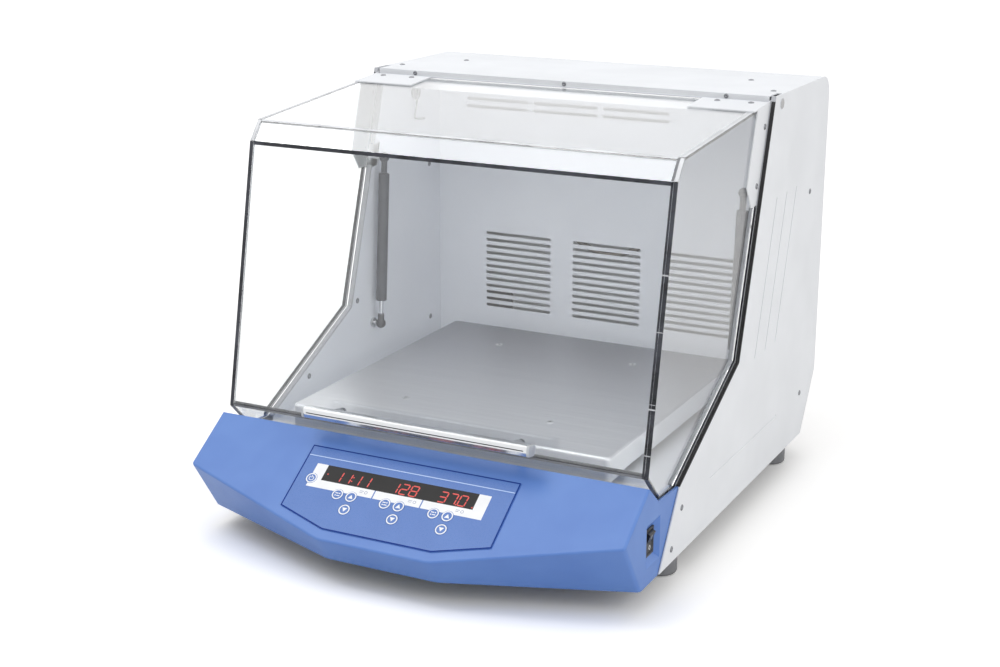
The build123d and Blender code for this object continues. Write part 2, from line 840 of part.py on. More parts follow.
with BuildPart() as control_board:
    with BuildSketch(face_plane.offset(-board_depth)):
        with Locations((board_x, board_s)):
            RectangleRounded(board_width, board_length, board_corner_radius)
    extrude(amount=-board_sheet)
    with BuildSketch(face_plane.offset(-board_depth)):
        with Locations(*key_centers):
            Rectangle(tact_side, tact_side)
    extrude(amount=tact_height)
    with BuildSketch(face_plane.offset(-board_depth)):
        with Locations((window_x, window_s)):
            Rectangle(window_width, window_height)
    extrude(amount=board_depth)
    with BuildSketch(face_plane.offset(-board_depth)):
        with Locations((board_x, board_s)):
            with GridLocations(
                board_width - 2 * board_post_inset,
                board_length - 2 * board_post_inset,
                2,
                2,
            ):
                Circle(board_post_radius)
    extrude(amount=board_depth - housing_wall)
control_board.part.label = "control_board"
export_step(control_board.part, "parts/control_board.step")

rocker_sink = 2.0                  # pivot of the rocker behind the pocket's floor
rocker_x = pocket_floor_x - rocker_sink
rocker_reach = rocker_length / 2
rocker_side = rocker_width / 2
rocker_pin_radius = 1.5
rocker_pin_clearance = 0.05
rocker_pin_reach = 1.4
body_depth = 20.0
bezel_corner_radius = 1.5
tab_spacing_y = 9.0
tab_spacing_z = 7.0
tab_width = 0.8
tab_height = 5.0
tab_length = 8.0

with BuildPart() as switch_body:
    with BuildSketch(Plane.YZ.offset(pocket_floor_x)):
        with Locations((switch_y, switch_z)):
            RectangleRounded(switch_width, switch_height, bezel_corner_radius)
    extrude(amount=switch_bezel)
    with BuildSketch(Plane.YZ.offset(pocket_floor_x)):
        with Locations((switch_y, switch_z)):
            Rectangle(body_width, body_height)
    extrude(amount=-body_depth)
    with BuildSketch(Plane.YZ.offset(pocket_floor_x + switch_bezel)):
        with Locations((switch_y, switch_z)):
            Rectangle(rocker_width + 2 * snap_clearance, rocker_length + 3 * snap_clearance)
    extrude(amount=-body_depth / 2, mode=Mode.SUBTRACT)
    with BuildSketch(Plane.XZ.offset(-switch_y)):
        with Locations((rocker_x, switch_z)):
            Circle(rocker_pin_radius + rocker_pin_clearance)
    extrude(amount=rocker_side + rocker_pin_reach + snap_clearance, both=True, mode=Mode.SUBTRACT)
    with BuildSketch(Plane.YZ.offset(pocket_floor_x - body_depth)):
        with Locations((switch_y, switch_z)):
            with GridLocations(tab_spacing_y, tab_spacing_z, 2, 2):
                Rectangle(tab_width, tab_height)
    extrude(amount=-tab_length)
switch_body.part.label = "switch_body"
export_step(switch_body.part, "parts/switch_body.step")

tilt = radians(rocker_tilt)
rocker_dip = 3.6                   # middle and ends of the rocker's top above its pivot
rocker_rise = 6.2
rocker_keel = 2.5
rocker_plane = Plane(
    origin=(rocker_x, switch_y, switch_z),
    x_dir=(cos(tilt), 0, -sin(tilt)),
    z_dir=(0, -1, 0),
)

with BuildPart() as switch_rocker:
    with BuildSketch(rocker_plane):
        with BuildLine():
            Polyline(
                (rocker_dip, 0),
                (rocker_rise, rocker_reach),
                (0, rocker_reach),
                (-rocker_keel, rocker_reach / 2),
                (-rocker_keel, -rocker_reach / 2),
                (0, -rocker_reach),
                (rocker_rise, -rocker_reach),
                close=True,
            )
        make_face()
        Circle(rocker_reach, mode=Mode.INTERSECT)
    extrude(amount=rocker_side, both=True)
    with BuildSketch(rocker_plane):
        Circle(rocker_pin_radius)
    extrude(amount=rocker_side + rocker_pin_reach, both=True)
switch_rocker.part.label = "switch_rocker"
export_step(switch_rocker.part, "parts/switch_rocker.step")

# ---------------------------------------------------------------- clear hood
rim_front, hood_low, hood_brow, hood_crown, hood_back = hood_outline[1:]
pane_lean = atan2(hood_brow[0] - hood_low[0], hood_brow[1] - hood_low[1])
crown_ahead = (2 * hood_back[0] - hood_crown[0], 2 * hood_back[1] - hood_crown[1])
inner_low = inner_corner(rim_front, hood_low, hood_brow, sheet)
inner_brow = inner_corner(hood_low, hood_brow, hood_crown, sheet)
inner_crown = inner_corner(hood_brow, hood_crown, hood_back, sheet)
inner_back = inner_corner(hood_crown, hood_back, crown_ahead, sheet)
bracket_screw_radius = 2.0
bracket_screw_ahead = 11.5         # of the opening's upper edge
bracket_screw_from_hinge = 45.0
bracket_screw_drop = 35.0
bracket_screw_rise = 13.5          # above the strut's head
bracket_screw_y = hinge_y - bracket_screw_from_hinge
inner_screw_inset = 62.5
outer_screw_inset = 18.0
bracket_screw_xs = [hood_half - inner_screw_inset, hood_half - outer_screw_inset]
bracket_screw_z_high = instrument_height - bracket_screw_drop
bracket_screw_z_low = strut_head_z + bracket_screw_rise
side_screw_high = (upper_edge_y(bracket_screw_z_high, bracket_screw_ahead), bracket_screw_z_high)
side_screw_low = (upper_edge_y(bracket_screw_z_low, bracket_screw_ahead), bracket_screw_z_low)
top_screw_places = [(side * x, bracket_screw_y) for side in (-1, 1) for x in bracket_screw_xs]

with BuildPart() as hood_top_plate:
    with BuildSketch(Plane.YZ.offset(-hood_inner)):
        with BuildLine():
            Polyline(hood_crown, hood_back, inner_back, inner_crown, close=True)
        make_face()
    extrude(amount=2 * hood_inner)
    with BuildSketch(Plane.XY.offset(hood_top_z(hood_rear_y))):
        with Locations(*top_screw_places):
            Circle(bracket_screw_radius)
    extrude(amount=-3 * sheet, mode=Mode.SUBTRACT)
hood_top_plate.part.label = "hood_top_plate"
export_step(hood_top_plate.part, "parts/hood_top_plate.step")

with BuildPart() as hood_upper_chamfer:
    with BuildSketch(Plane.YZ.offset(-hood_inner)):
        with BuildLine():
            Polyline(hood_brow, hood_crown, inner_crown, inner_brow, close=True)
        make_face()
    extrude(amount=2 * hood_inner)
hood_upper_chamfer.part.label = "hood_upper_chamfer"
export_step(hood_upper_chamfer.part, "parts/hood_upper_chamfer.step")

screw_hole_gap = 0.2
pane_plane = Plane(
    origin=(0, hood_low_y + handle_rise * tan(pane_lean), hood_low_z + handle_rise),
    x_dir=(1, 0, 0),
    z_dir=(0, -cos(pane_lean), sin(pane_lean)),
)

with BuildPart() as hood_front_plate:
    with BuildSketch(Plane.YZ.offset(-hood_inner)):
        with BuildLine():
            Polyline(hood_low, hood_brow, inner_brow, inner_low, close=True)
        make_face()
    extrude(amount=2 * hood_inner)
    with BuildSketch(pane_plane):
        with GridLocations(2 * handle_post_x, 1, 2, 1):
            Circle(handle_screw_radius + screw_hole_gap)
    extrude(amount=-2 * sheet, mode=Mode.SUBTRACT)
hood_front_plate.part.label = "hood_front_plate"
export_step(hood_front_plate.part, "parts/hood_front_plate.step")

with BuildPart() as hood_lower_chamfer:
    with BuildSketch(Plane.YZ.offset(-hood_inner)):
        with BuildLine():
            Polyline(
                rim_front,
                hood_low,
                inner_low,
                (rim_front[0] + sheet * sqrt(2), hood_rim_z),
                close=True,
            )
        make_face()
    extrude(amount=2 * hood_inner)
hood_lower_chamfer.part.label = "hood_lower_chamfer"
export_step(hood_lower_chamfer.part, "parts/hood_lower_chamfer.step")

with BuildPart() as hood_right_plate:
    with BuildSketch(Plane.YZ.offset(hood_inner)):
        with BuildLine():
            Polyline(*hood_outline, opening_bend(seal_thickness + rim_gap), close=True)
        make_face()
        with Locations(side_screw_high, side_screw_low):
            Circle(bracket_screw_radius, mode=Mode.SUBTRACT)
    extrude(amount=sheet)
hood_right_plate.part.label = "hood_right_plate"
export_step(hood_right_plate.part, "parts/hood_right_plate.step")

with BuildPart() as hood_left_plate:
    mirror(hood_right_plate.part, about=Plane.YZ)
hood_left_plate.part.label = "hood_left_plate"
export_step(hood_left_plate.part, "parts/hood_left_plate.step")

# ---------------------------------------------------------------- handle
bar_half = handle_length / 2 - end_cap_length
bar_middle = handle_gap + handle_depth / 2
bar_section = Plane(
    origin=pane_plane.origin + pane_plane.z_dir * bar_middle,
    x_dir=pane_plane.z_dir,
    z_dir=(1, 0, 0),
)
groove_width = 1.6
groove_depth = 1.2
bar_radius = 4.0

with BuildPart() as handle_bar:
    with BuildSketch(bar_section.offset(-bar_half)):
        RectangleRounded(handle_depth, handle_height, bar_radius)
        with Locations((handle_depth / 4, handle_height / 2)):
            Rectangle(groove_width, 2 * groove_depth, mode=Mode.SUBTRACT)
        with Locations((handle_depth / 2, 0)):
            Rectangle(2 * groove_depth, groove_width, mode=Mode.SUBTRACT)
    extrude(amount=2 * bar_half)
    with BuildSketch(pane_plane.offset(handle_gap)):
        with GridLocations(2 * handle_post_x, 1, 2, 1):
            Circle(handle_screw_radius)
    extrude(amount=handle_depth / 2, mode=Mode.SUBTRACT)
handle_bar.part.label = "handle_bar"
export_step(handle_bar.part, "parts/handle_bar.step")

cap_rim = 0.2
cap_edge_radius = 1.5

with BuildPart() as handle_end_caps:
    with BuildSketch(bar_section.offset(bar_half)):
        RectangleRounded(handle_depth + 2 * cap_rim, handle_height + 2 * cap_rim, bar_radius + cap_rim)
    extrude(amount=end_cap_length)
    fillet(handle_end_caps.faces().sort_by(Axis.X)[-1].edges(), cap_edge_radius)
    mirror(about=Plane.YZ)
handle_end_caps.part.label = "handle_end_caps"
export_step(handle_end_caps.part, "parts/handle_end_caps.step")

handle_screw_end = 1.0             # short of the bar's middle
handle_screw_head = 2.5

with BuildPart() as handle_standoffs:
    with BuildSketch(pane_plane):
        with GridLocations(2 * handle_post_x, 1, 2, 1):
            Circle(handle_post_radius)
    extrude(amount=handle_gap)
    with BuildSketch(pane_plane.offset(-sheet)):
        with GridLocations(2 * handle_post_x, 1, 2, 1):
            Circle(handle_screw_radius)
    extrude(amount=sheet + handle_gap + handle_depth / 2 - handle_screw_end)
    with BuildSketch(pane_plane.offset(-sheet)):
        with GridLocations(2 * handle_post_x, 1, 2, 1):
            Circle(handle_post_radius)
    extrude(amount=-handle_screw_head)
handle_standoffs.part.label = "handle_standoffs"
export_step(handle_standoffs.part, "parts/handle_standoffs.step")

# ---------------------------------------------------------------- hood hinge
plate_width = 86.0
plate_back_gap = 2.0               # to the rear edge of the top pane
plate_depth = 54.0
plate_inner_x = hood_half - plate_width
plate_back_y = hood_rear_y - plate_back_gap
plate_front_y = plate_back_y - plate_depth
flange_ahead = 46.0
flange_behind = -16.0
flange_chamfer = 28.0
arm_radius = 9.0
arm_root_drop = 30.0
arm_root_z = hinge_z - arm_root_drop
flange_below_strut = 11.5
flange_low_z = strut_head_z - flange_below_strut
flange_front_top_y = upper_edge_y(hood_top_z(plate_front_y), flange_ahead)
collar_radius = 6.0
collar_length = 3.0
stud_radius = 3.0
head_gap = 0.5                     # between the stud and the strut's head
stud_end_x = strut_x + strut_socket_radius + head_gap

with BuildPart() as right_hinge_bracket:
    with BuildSketch(Plane.YZ.offset(plate_inner_x)):
        with BuildLine():
            Polyline(
                (plate_front_y, hood_top_z(plate_front_y)),
                (plate_front_y, hood_top_z(plate_front_y) + bracket_sheet),
                (plate_back_y, hood_top_z(plate_back_y) + bracket_sheet),
                (plate_back_y, hood_top_z(plate_back_y)),
                close=True,
            )
        make_face()
    extrude(amount=hood_half + bracket_sheet - plate_inner_x)
    with BuildSketch(Plane.XY.offset(instrument_height)):
        with Locations(*top_screw_places):
            Circle(bracket_screw_radius)
    extrude(amount=-4 * sheet, mode=Mode.SUBTRACT)
    with BuildSketch(Plane.YZ.offset(hood_half)):
        with BuildLine():
            Polyline(
                (flange_front_top_y, hood_top_z(flange_front_top_y)),
                (plate_back_y, hood_top_z(plate_back_y) + bracket_sheet),
                (hinge_y, hinge_z + arm_radius),
                (hinge_y, hinge_z - arm_radius),
                (upper_edge_y(arm_root_z, flange_behind), arm_root_z),
                (upper_edge_y(flange_low_z, flange_behind), flange_low_z),
                (upper_edge_y(flange_low_z, flange_ahead) + flange_chamfer, flange_low_z),
                (upper_edge_y(flange_low_z + flange_chamfer, flange_ahead), flange_low_z + flange_chamfer),
                close=True,
            )
        make_face()
        with Locations((hinge_y, hinge_z)):
            Circle(arm_radius)
            Circle(hinge_pin_radius + hinge_clearance, mode=Mode.SUBTRACT)
        with Locations(side_screw_high, side_screw_low):
            Circle(bracket_screw_radius, mode=Mode.SUBTRACT)
    extrude(amount=bracket_sheet)
    with BuildSketch(Plane.YZ.offset(hood_half)):
        with Locations((strut_head_y, strut_head_z)):
            Circle(collar_radius)
    extrude(amount=-collar_length)
    with BuildSketch(Plane.YZ.offset(stud_end_x)):
        with Locations((strut_head_y, strut_head_z)):
            Circle(stud_radius)
    extrude(amount=hood_half - stud_end_x)
right_hinge_bracket.part.label = "right_hinge_bracket"
export_step(right_hinge_bracket.part, "parts/right_hinge_bracket.step")

with BuildPart() as left_hinge_bracket:
    mirror(right_hinge_bracket.part, about=Plane.YZ)
left_hinge_bracket.part.label = "left_hinge_bracket"
export_step(left_hinge_bracket.part, "parts/left_hinge_bracket.step")

pin_side_gap = 0.1
pin_head_radius = 6.5
pin_head_length = 1.2
pin_ring_length = 1.4
arm_outer_x = hood_half + bracket_sheet

with BuildPart() as hinge_pins:
    with BuildSketch(Plane.YZ.offset(hood_half - pin_side_gap - pin_ring_length)):
        with Locations((hinge_y, hinge_z)):
            Circle(hinge_pin_radius)
    extrude(amount=half_width - hood_half + pin_side_gap + pin_ring_length)
    with BuildSketch(Plane.YZ.offset(hood_half - pin_side_gap)):
        with Locations((hinge_y, hinge_z)):
            Circle(pin_head_radius)
    extrude(amount=-pin_ring_length)
    with BuildSketch(Plane.YZ.offset(arm_outer_x + pin_side_gap)):
        with Locations((hinge_y, hinge_z)):
            Circle(pin_head_radius)
    extrude(amount=skin_x - arm_outer_x - pin_side_gap)
    with BuildSketch(Plane.YZ.offset(half_width)):
        with Locations((hinge_y, hinge_z)):
            Circle(pin_head_radius)
    extrude(amount=pin_head_length)
    mirror(about=Plane.YZ)
hinge_pins.part.label = "hinge_pins"
export_step(hinge_pins.part, "parts/hinge_pins.step")

# ---------------------------------------------------------------- gas struts
strut_length = hypot(strut_head_y - strut_foot_y, strut_head_z - strut_foot_z)
strut_lean = atan2(strut_head_y - strut_foot_y, strut_head_z - strut_foot_z)
strut_plane = Plane(
    origin=(strut_x, strut_foot_y, strut_foot_z),
    x_dir=(1, 0, 0),
    z_dir=(0, sin(strut_lean), cos(strut_lean)),
)
foot_plane = Plane(origin=(strut_x, strut_foot_y, strut_foot_z), x_dir=(0, 1, 0), z_dir=(1, 0, 0))
head_plane = Plane(origin=(strut_x, strut_head_y, strut_head_z), x_dir=(0, 1, 0), z_dir=(1, 0, 0))
strut_tube_length = strut_length - strut_tube_foot - strut_neck
rod_share = 0.8                    # of the tube, when the strut is short
rod_end = strut_tube_foot + rod_share * strut_tube_length
piston_length = 10.0
gland_length = 4.0
gland_clearance = 0.05
piston_clearance = 0.1
socket_neck = 14.0                 # from the foot's ball to the bare rod
socket_mouth = 0.4                 # the socket's mouth is narrower than the ball
tube_end_radius = 1.5

with BuildPart() as right_strut_rod:
    with BuildSketch(strut_plane):
        Circle(strut_rod_radius)
    extrude(amount=rod_end)
    with BuildSketch(strut_plane.offset(rod_end - piston_length)):
        Circle(strut_bore_radius - piston_clearance)
    extrude(amount=piston_length)
    with BuildSketch(strut_plane):
        Circle(strut_neck_radius)
    extrude(amount=socket_neck)
    with Locations(foot_plane):
        Sphere(strut_socket_radius)
        Sphere(strut_ball_radius + ball_clearance, mode=Mode.SUBTRACT)
    with BuildSketch(foot_plane):
        Circle(strut_ball_radius - socket_mouth)
    extrude(amount=strut_socket_radius, mode=Mode.SUBTRACT)
right_strut_rod.part.label = "right_strut_rod"
export_step(right_strut_rod.part, "parts/right_strut_rod.step")

with BuildPart() as left_strut_rod:
    mirror(right_strut_rod.part, about=Plane.YZ)
left_strut_rod.part.label = "left_strut_rod"
export_step(left_strut_rod.part, "parts/left_strut_rod.step")

with BuildPart() as right_strut_tube:
    with BuildSketch(strut_plane.offset(strut_tube_foot)):
        Circle(strut_tube_radius)
    extrude(amount=strut_tube_length)
    fillet(right_strut_tube.edges().filter_by(GeomType.CIRCLE), tube_end_radius)
    with BuildSketch(strut_plane.offset(strut_tube_foot)):
        Circle(strut_rod_radius + gland_clearance)
    extrude(amount=gland_length, mode=Mode.SUBTRACT)
    with BuildSketch(strut_plane.offset(strut_tube_foot + gland_length)):
        Circle(strut_bore_radius)
    extrude(amount=strut_tube_length - 2 * gland_length, mode=Mode.SUBTRACT)
    with BuildSketch(strut_plane.offset(strut_length - strut_neck)):
        Circle(strut_neck_radius)
    extrude(amount=strut_neck)
    with Locations(head_plane):
        Sphere(strut_socket_radius)
right_strut_tube.part.label = "right_strut_tube"
export_step(right_strut_tube.part, "parts/right_strut_tube.step")

with BuildPart() as left_strut_tube:
    mirror(right_strut_tube.part, about=Plane.YZ)
left_strut_tube.part.label = "left_strut_tube"
export_step(left_strut_tube.part, "parts/left_strut_tube.step")

stud_base_radius = 7.0
stud_base_length = 3.0

with BuildPart() as strut_wall_studs:
    with Locations(foot_plane):
        Sphere(strut_ball_radius)
    with BuildSketch(foot_plane):
        Circle(stud_radius)
    extrude(amount=chamber_half_width - strut_x)
    with BuildSketch(Plane.YZ.offset(chamber_half_width)):
        with Locations((strut_foot_y, strut_foot_z)):
            Circle(stud_base_radius)
    extrude(amount=-stud_base_length)
    mirror(about=Plane.YZ)
strut_wall_studs.part.label = "strut_wall_studs"
export_step(strut_wall_studs.part, "parts/strut_wall_studs.step")

probe_from_back = 73.5
probe_drop_from_ceiling = 20.0
probe_y = chamber_back_y - probe_from_back
probe_z = chamber_ceiling_z - probe_drop_from_ceiling
probe_radius = 10.0
probe_base = 4.0
probe_wire = 1.2
probe_drop = 37.0
probe_hook = 30.0
probe_boss = 3.0
probe_x = -(chamber_half_width - probe_base - probe_boss / 2)

with BuildPart() as temperature_probe:
    with BuildSketch(Plane.YZ.offset(-chamber_half_width)):
        with Locations((probe_y, probe_z)):
            Circle(probe_radius)
    extrude(amount=probe_base)
    with BuildLine() as probe_path:
        FilletPolyline(
            (probe_x, probe_y, probe_z),
            (probe_x, probe_y - 12, probe_z - probe_drop),
            (probe_x, probe_y - 12 + probe_hook, probe_z - probe_drop - 3),
            radius=3,
        )
    with BuildSketch(Plane(origin=probe_path.line @ 0, z_dir=probe_path.line % 0)):
        Circle(probe_wire)
    sweep()
    with BuildSketch(Plane.YZ.offset(-chamber_half_width + probe_base)):
        with Locations((probe_y, probe_z)):
            Circle(4)
    extrude(amount=probe_boss)
temperature_probe.part.label = "temperature_probe"
export_step(temperature_probe.part, "parts/temperature_probe.step")

# ---------------------------------------------------------------- tray and its drive
insert_radius = 3.8
insert_flange_radius = 5.0
insert_flange = 0.8
insert_length = 12.0
insert_bore_radius = 2.5
tray_corner_radius = 6.0
tray_low_z = tray_top_z - tray_skirt
tray_under_z = tray_top_z - tray_sheet

with BuildPart() as shaker_tray:
    with BuildSketch(Plane.XY.offset(tray_low_z)):
        with Locations((0, tray_center_y)):
            RectangleRounded(tray_width, tray_depth, tray_corner_radius)
    extrude(amount=tray_skirt)
    fillet(shaker_tray.faces().sort_by(Axis.Z)[-1].edges(), tray_bend_radius)
    with BuildSketch(Plane.XY.offset(tray_low_z)):
        with Locations((0, tray_center_y)):
            RectangleRounded(
                tray_width - 2 * tray_sheet,
                tray_depth - 2 * tray_sheet,
                tray_corner_radius - tray_sheet,
            )
    extrude(amount=tray_skirt - tray_sheet, mode=Mode.SUBTRACT)
    with BuildSketch(Plane.XY.offset(tray_top_z)):
        with Locations((0, tray_center_y)):
            with GridLocations(tray_hole_spacing_x, tray_hole_spacing_y, 2, 2):
                Circle(insert_radius)
    extrude(amount=-tray_sheet, mode=Mode.SUBTRACT)
shaker_tray.part.label = "shaker_tray"
export_step(shaker_tray.part, "parts/shaker_tray.step")

with BuildPart() as tray_inserts:
    with BuildSketch(Plane.XY.offset(tray_top_z)):
        with Locations((0, tray_center_y)):
            with GridLocations(tray_hole_spacing_x, tray_hole_spacing_y, 2, 2):
                Circle(insert_flange_radius)
    extrude(amount=insert_flange)
    with BuildSketch(Plane.XY.offset(tray_top_z)):
        with Locations((0, tray_center_y)):
            with GridLocations(tray_hole_spacing_x, tray_hole_spacing_y, 2, 2):
                Circle(insert_radius)
    extrude(amount=-insert_length)
    with BuildSketch(Plane.XY.offset(tray_top_z + insert_flange)):
        with Locations((0, tray_center_y)):
            with GridLocations(tray_hole_spacing_x, tray_hole_spacing_y, 2, 2):
                Circle(insert_bore_radius)
    extrude(amount=-(insert_flange + insert_length), mode=Mode.SUBTRACT)
tray_inserts.part.label = "tray_inserts"
export_step(tray_inserts.part, "parts/tray_inserts.step")

carrier_side_inset = 27.0
carrier_end_inset = 26.0
carrier_width = tray_width - 2 * carrier_side_inset
carrier_depth = tray_depth - 2 * carrier_end_inset
carrier_sheet = 6.0
carrier_low_z = tray_low_z
boss_radius = 14.0
boss_drop = 6.0
boss_rise = 6.0
post_radius = 8.0
post_spacing = 300.0
window_side = 130.0
disc_gap = 0.5
disc_height = 3.5
disc_top_z = deck_z + disc_gap + disc_height
pin_top_z = carrier_low_z + carrier_sheet + 4.0
pin_places = [(x, y - orbit_radius) for x, y in crank_places]

with BuildPart() as tray_carrier:
    with BuildSketch(Plane.XY.offset(carrier_low_z)):
        with Locations((0, tray_center_y)):
            RectangleRounded(carrier_width, carrier_depth, 10)
            with GridLocations(1.9 * window_side, 1.5 * window_side, 2, 1):
                RectangleRounded(window_side / 2, 1.4 * window_side, 8, mode=Mode.SUBTRACT)
    extrude(amount=carrier_sheet)
    with BuildSketch(Plane.XY.offset(carrier_low_z - boss_drop)):
        with Locations(*pin_places):
            Circle(boss_radius)
    extrude(amount=boss_drop + carrier_sheet + boss_rise)
    with BuildSketch(Plane.XY.offset(carrier_low_z + carrier_sheet)):
        with Locations((0, tray_center_y)):
            with GridLocations(post_spacing, post_spacing, 2, 2):
                Circle(post_radius)
    extrude(amount=tray_under_z - carrier_low_z - carrier_sheet)
    with BuildSketch(Plane.XY.offset(carrier_low_z - boss_drop)):
        with Locations(*pin_places):
            Circle(crank_pin_radius + crank_clearance)
    extrude(amount=boss_drop + carrier_sheet + boss_rise, mode=Mode.SUBTRACT)
tray_carrier.part.label = "tray_carrier"
export_step(tray_carrier.part, "parts/tray_carrier.step")

bearing_width = 52.0
bearing_height = 10.0
bearing_low_z = deck_z - deck_sheet - bearing_height

with BuildPart() as bearing_blocks:
    with BuildSketch(Plane.XY.offset(bearing_low_z)):
        with Locations(*crank_places):
            RectangleRounded(bearing_width, bearing_width, 6)
            Circle(crank_shaft_radius + crank_clearance, mode=Mode.SUBTRACT)
    extrude(amount=bearing_height)
bearing_blocks.part.label = "bearing_blocks"
export_step(bearing_blocks.part, "parts/bearing_blocks.step")

pulley_width = belt_width + 2.0
pulley_low_z = belt_middle_z - pulley_width / 2
counterweight_radius = 50.0
counterweight_height = 6.0

with BuildPart() as drive_crank:
    with BuildSketch(Plane.XY.offset(pulley_low_z)):
        with Locations((0, crank_center_y)):
            Circle(drive_pulley_radius)
    extrude(amount=pulley_width)
    with BuildSketch(Plane.XY.offset(pulley_low_z)):
        with Locations((0, crank_center_y)):
            with PolarLocations(0.6 * drive_pulley_radius, 4, start_angle=45):
                Circle(0.2 * drive_pulley_radius)
    extrude(amount=pulley_width, mode=Mode.SUBTRACT)
    with BuildSketch(Plane.XY.offset(pulley_low_z)):
        with Locations((0, crank_center_y)):
            Circle(crank_shaft_radius)
    extrude(amount=deck_z + disc_gap - pulley_low_z)
    with BuildSketch(Plane.XY.offset(deck_z + disc_gap)):
        with Locations((0, crank_center_y)):
            Circle(crank_disc_radius)
    extrude(amount=disc_height)
    with BuildSketch(Plane.XY.offset(disc_top_z)):
        with Locations((0, crank_center_y - orbit_radius)):
            Circle(crank_pin_radius)
    extrude(amount=pin_top_z - disc_top_z)
    with BuildSketch(Plane.XY.offset(pulley_low_z - counterweight_height)):
        with Locations((0, crank_center_y)):
            Circle(counterweight_radius)
            with Locations((0, -counterweight_radius)):
                Rectangle(2 * counterweight_radius, 2 * counterweight_radius, mode=Mode.SUBTRACT)
            Circle(crank_shaft_radius)
    extrude(amount=counterweight_height)
drive_crank.part.label = "drive_crank"
export_step(drive_crank.part, "parts/drive_crank.step")

with BuildPart() as right_idler_crank:
    with BuildSketch(Plane.XY.offset(bearing_low_z - disc_height)):
        with Locations((idler_x, idler_y)):
            Circle(crank_shaft_radius + 3)
    extrude(amount=disc_height - disc_gap)
    with BuildSketch(Plane.XY.offset(bearing_low_z - disc_height)):
        with Locations((idler_x, idler_y)):
            Circle(crank_shaft_radius)
    extrude(amount=deck_z + disc_gap - bearing_low_z + disc_height)
    with BuildSketch(Plane.XY.offset(deck_z + disc_gap)):
        with Locations((idler_x, idler_y)):
            Circle(crank_disc_radius)
    extrude(amount=disc_height)
    with BuildSketch(Plane.XY.offset(disc_top_z)):
        with Locations((idler_x, idler_y - orbit_radius)):
            Circle(crank_pin_radius)
    extrude(amount=pin_top_z - disc_top_z)
right_idler_crank.part.label = "right_idler_crank"
export_step(right_idler_crank.part, "parts/right_idler_crank.step")

with BuildPart() as left_idler_crank:
    mirror(right_idler_crank.part, about=Plane.YZ)
left_idler_crank.part.label = "left_idler_crank"
export_step(left_idler_crank.part, "parts/left_idler_crank.step")

motor_radius = 36.0
motor_shaft_radius = 5.0
motor_shaft_depth = 14.0
motor_top_z = pulley_low_z - 4.0
motor_plate_height = 5.0

with BuildPart() as drive_motor:
    with BuildSketch(Plane.XY.offset(pan_top_z)):
        with Locations((0, motor_y)):
            RectangleRounded(2.3 * motor_radius, 2.3 * motor_radius, 8)
    extrude(amount=motor_plate_height)
    with BuildSketch(Plane.XY.offset(pan_top_z + motor_plate_height)):
        with Locations((0, motor_y)):
            Circle(motor_radius)
    extrude(amount=motor_top_z - pan_top_z - motor_plate_height)
    chamfer(drive_motor.faces().sort_by(Axis.Z)[-1].edges(), 3)
    with BuildSketch(Plane.XY.offset(motor_top_z)):
        with Locations((0, motor_y)):
            Circle(motor_shaft_radius + crank_clearance)
    extrude(amount=-motor_shaft_depth, mode=Mode.SUBTRACT)
drive_motor.part.label = "drive_motor"
export_step(drive_motor.part, "parts/drive_motor.step")

with BuildPart() as motor_pulley:
    with BuildSketch(Plane.XY.offset(pulley_low_z)):
        with Locations((0, motor_y)):
            Circle(motor_pulley_radius)
    extrude(amount=pulley_width)
    with BuildSketch(Plane.XY.offset(pulley_low_z)):
        with Locations((0, motor_y)):
            Circle(motor_shaft_radius)
    extrude(amount=-(pulley_low_z - motor_top_z + motor_shaft_depth - 1))
motor_pulley.part.label = "motor_pulley"
export_step(motor_pulley.part, "parts/motor_pulley.step")

belt_clearance = 0.05
belt_low_z = belt_middle_z - belt_width / 2

with BuildPart() as drive_belt:
    with BuildSketch(Plane.XY.offset(belt_low_z)):
        with Locations((0, crank_center_y)):
            Circle(drive_pulley_radius + belt_clearance)
        with Locations((0, motor_y)):
            Circle(motor_pulley_radius + belt_clearance)
        make_hull()
        offset(amount=belt_thickness)
        with BuildSketch(mode=Mode.SUBTRACT):
            with Locations((0, crank_center_y)):
                Circle(drive_pulley_radius + belt_clearance)
            with Locations((0, motor_y)):
                Circle(motor_pulley_radius + belt_clearance)
            make_hull()
    extrude(amount=belt_width)
drive_belt.part.label = "drive_belt"
export_step(drive_belt.part, "parts/drive_belt.step")

# ---------------------------------------------------------------- air circulation
fan_front_y = chamber_back_y + 11.5
fan_back_y = fan_front_y + fan_width
fan_plate = 2.0
fan_shaft_radius = 4.0
fan_shaft_depth = 12.0
fan_motor_radius = 34.0
fan_motor_gap = 5.0
fan_hub_radius = 12.0
blade_thickness = 1.6
blade_turn = 35.0
fan_back_plane = Plane.XZ.offset(-fan_back_y)
fan_motor_y = fan_back_y + fan_motor_gap
rear_inner_y = rear_y - skin

with BuildPart() as fan_wheel:
    with BuildSketch(fan_back_plane):
        with Locations((0, fan_z)):
            Circle(fan_radius)
    extrude(amount=fan_plate)
    with BuildSketch(fan_back_plane):
        with Locations((0, fan_z)):
            Circle(fan_hub_radius)
    extrude(amount=fan_width)
    with BuildSketch(fan_back_plane):
        with Locations((0, fan_z)):
            with PolarLocations(0.82 * fan_radius, fan_blades):
                Rectangle(0.3 * fan_radius, blade_thickness, rotation=blade_turn)
    extrude(amount=fan_width)
    with BuildSketch(fan_back_plane):
        with Locations((0, fan_z)):
            Circle(fan_shaft_radius)
    extrude(amount=-(fan_motor_gap + fan_shaft_depth - 1))
fan_wheel.part.label = "fan_wheel"
export_step(fan_wheel.part, "parts/fan_wheel.step")

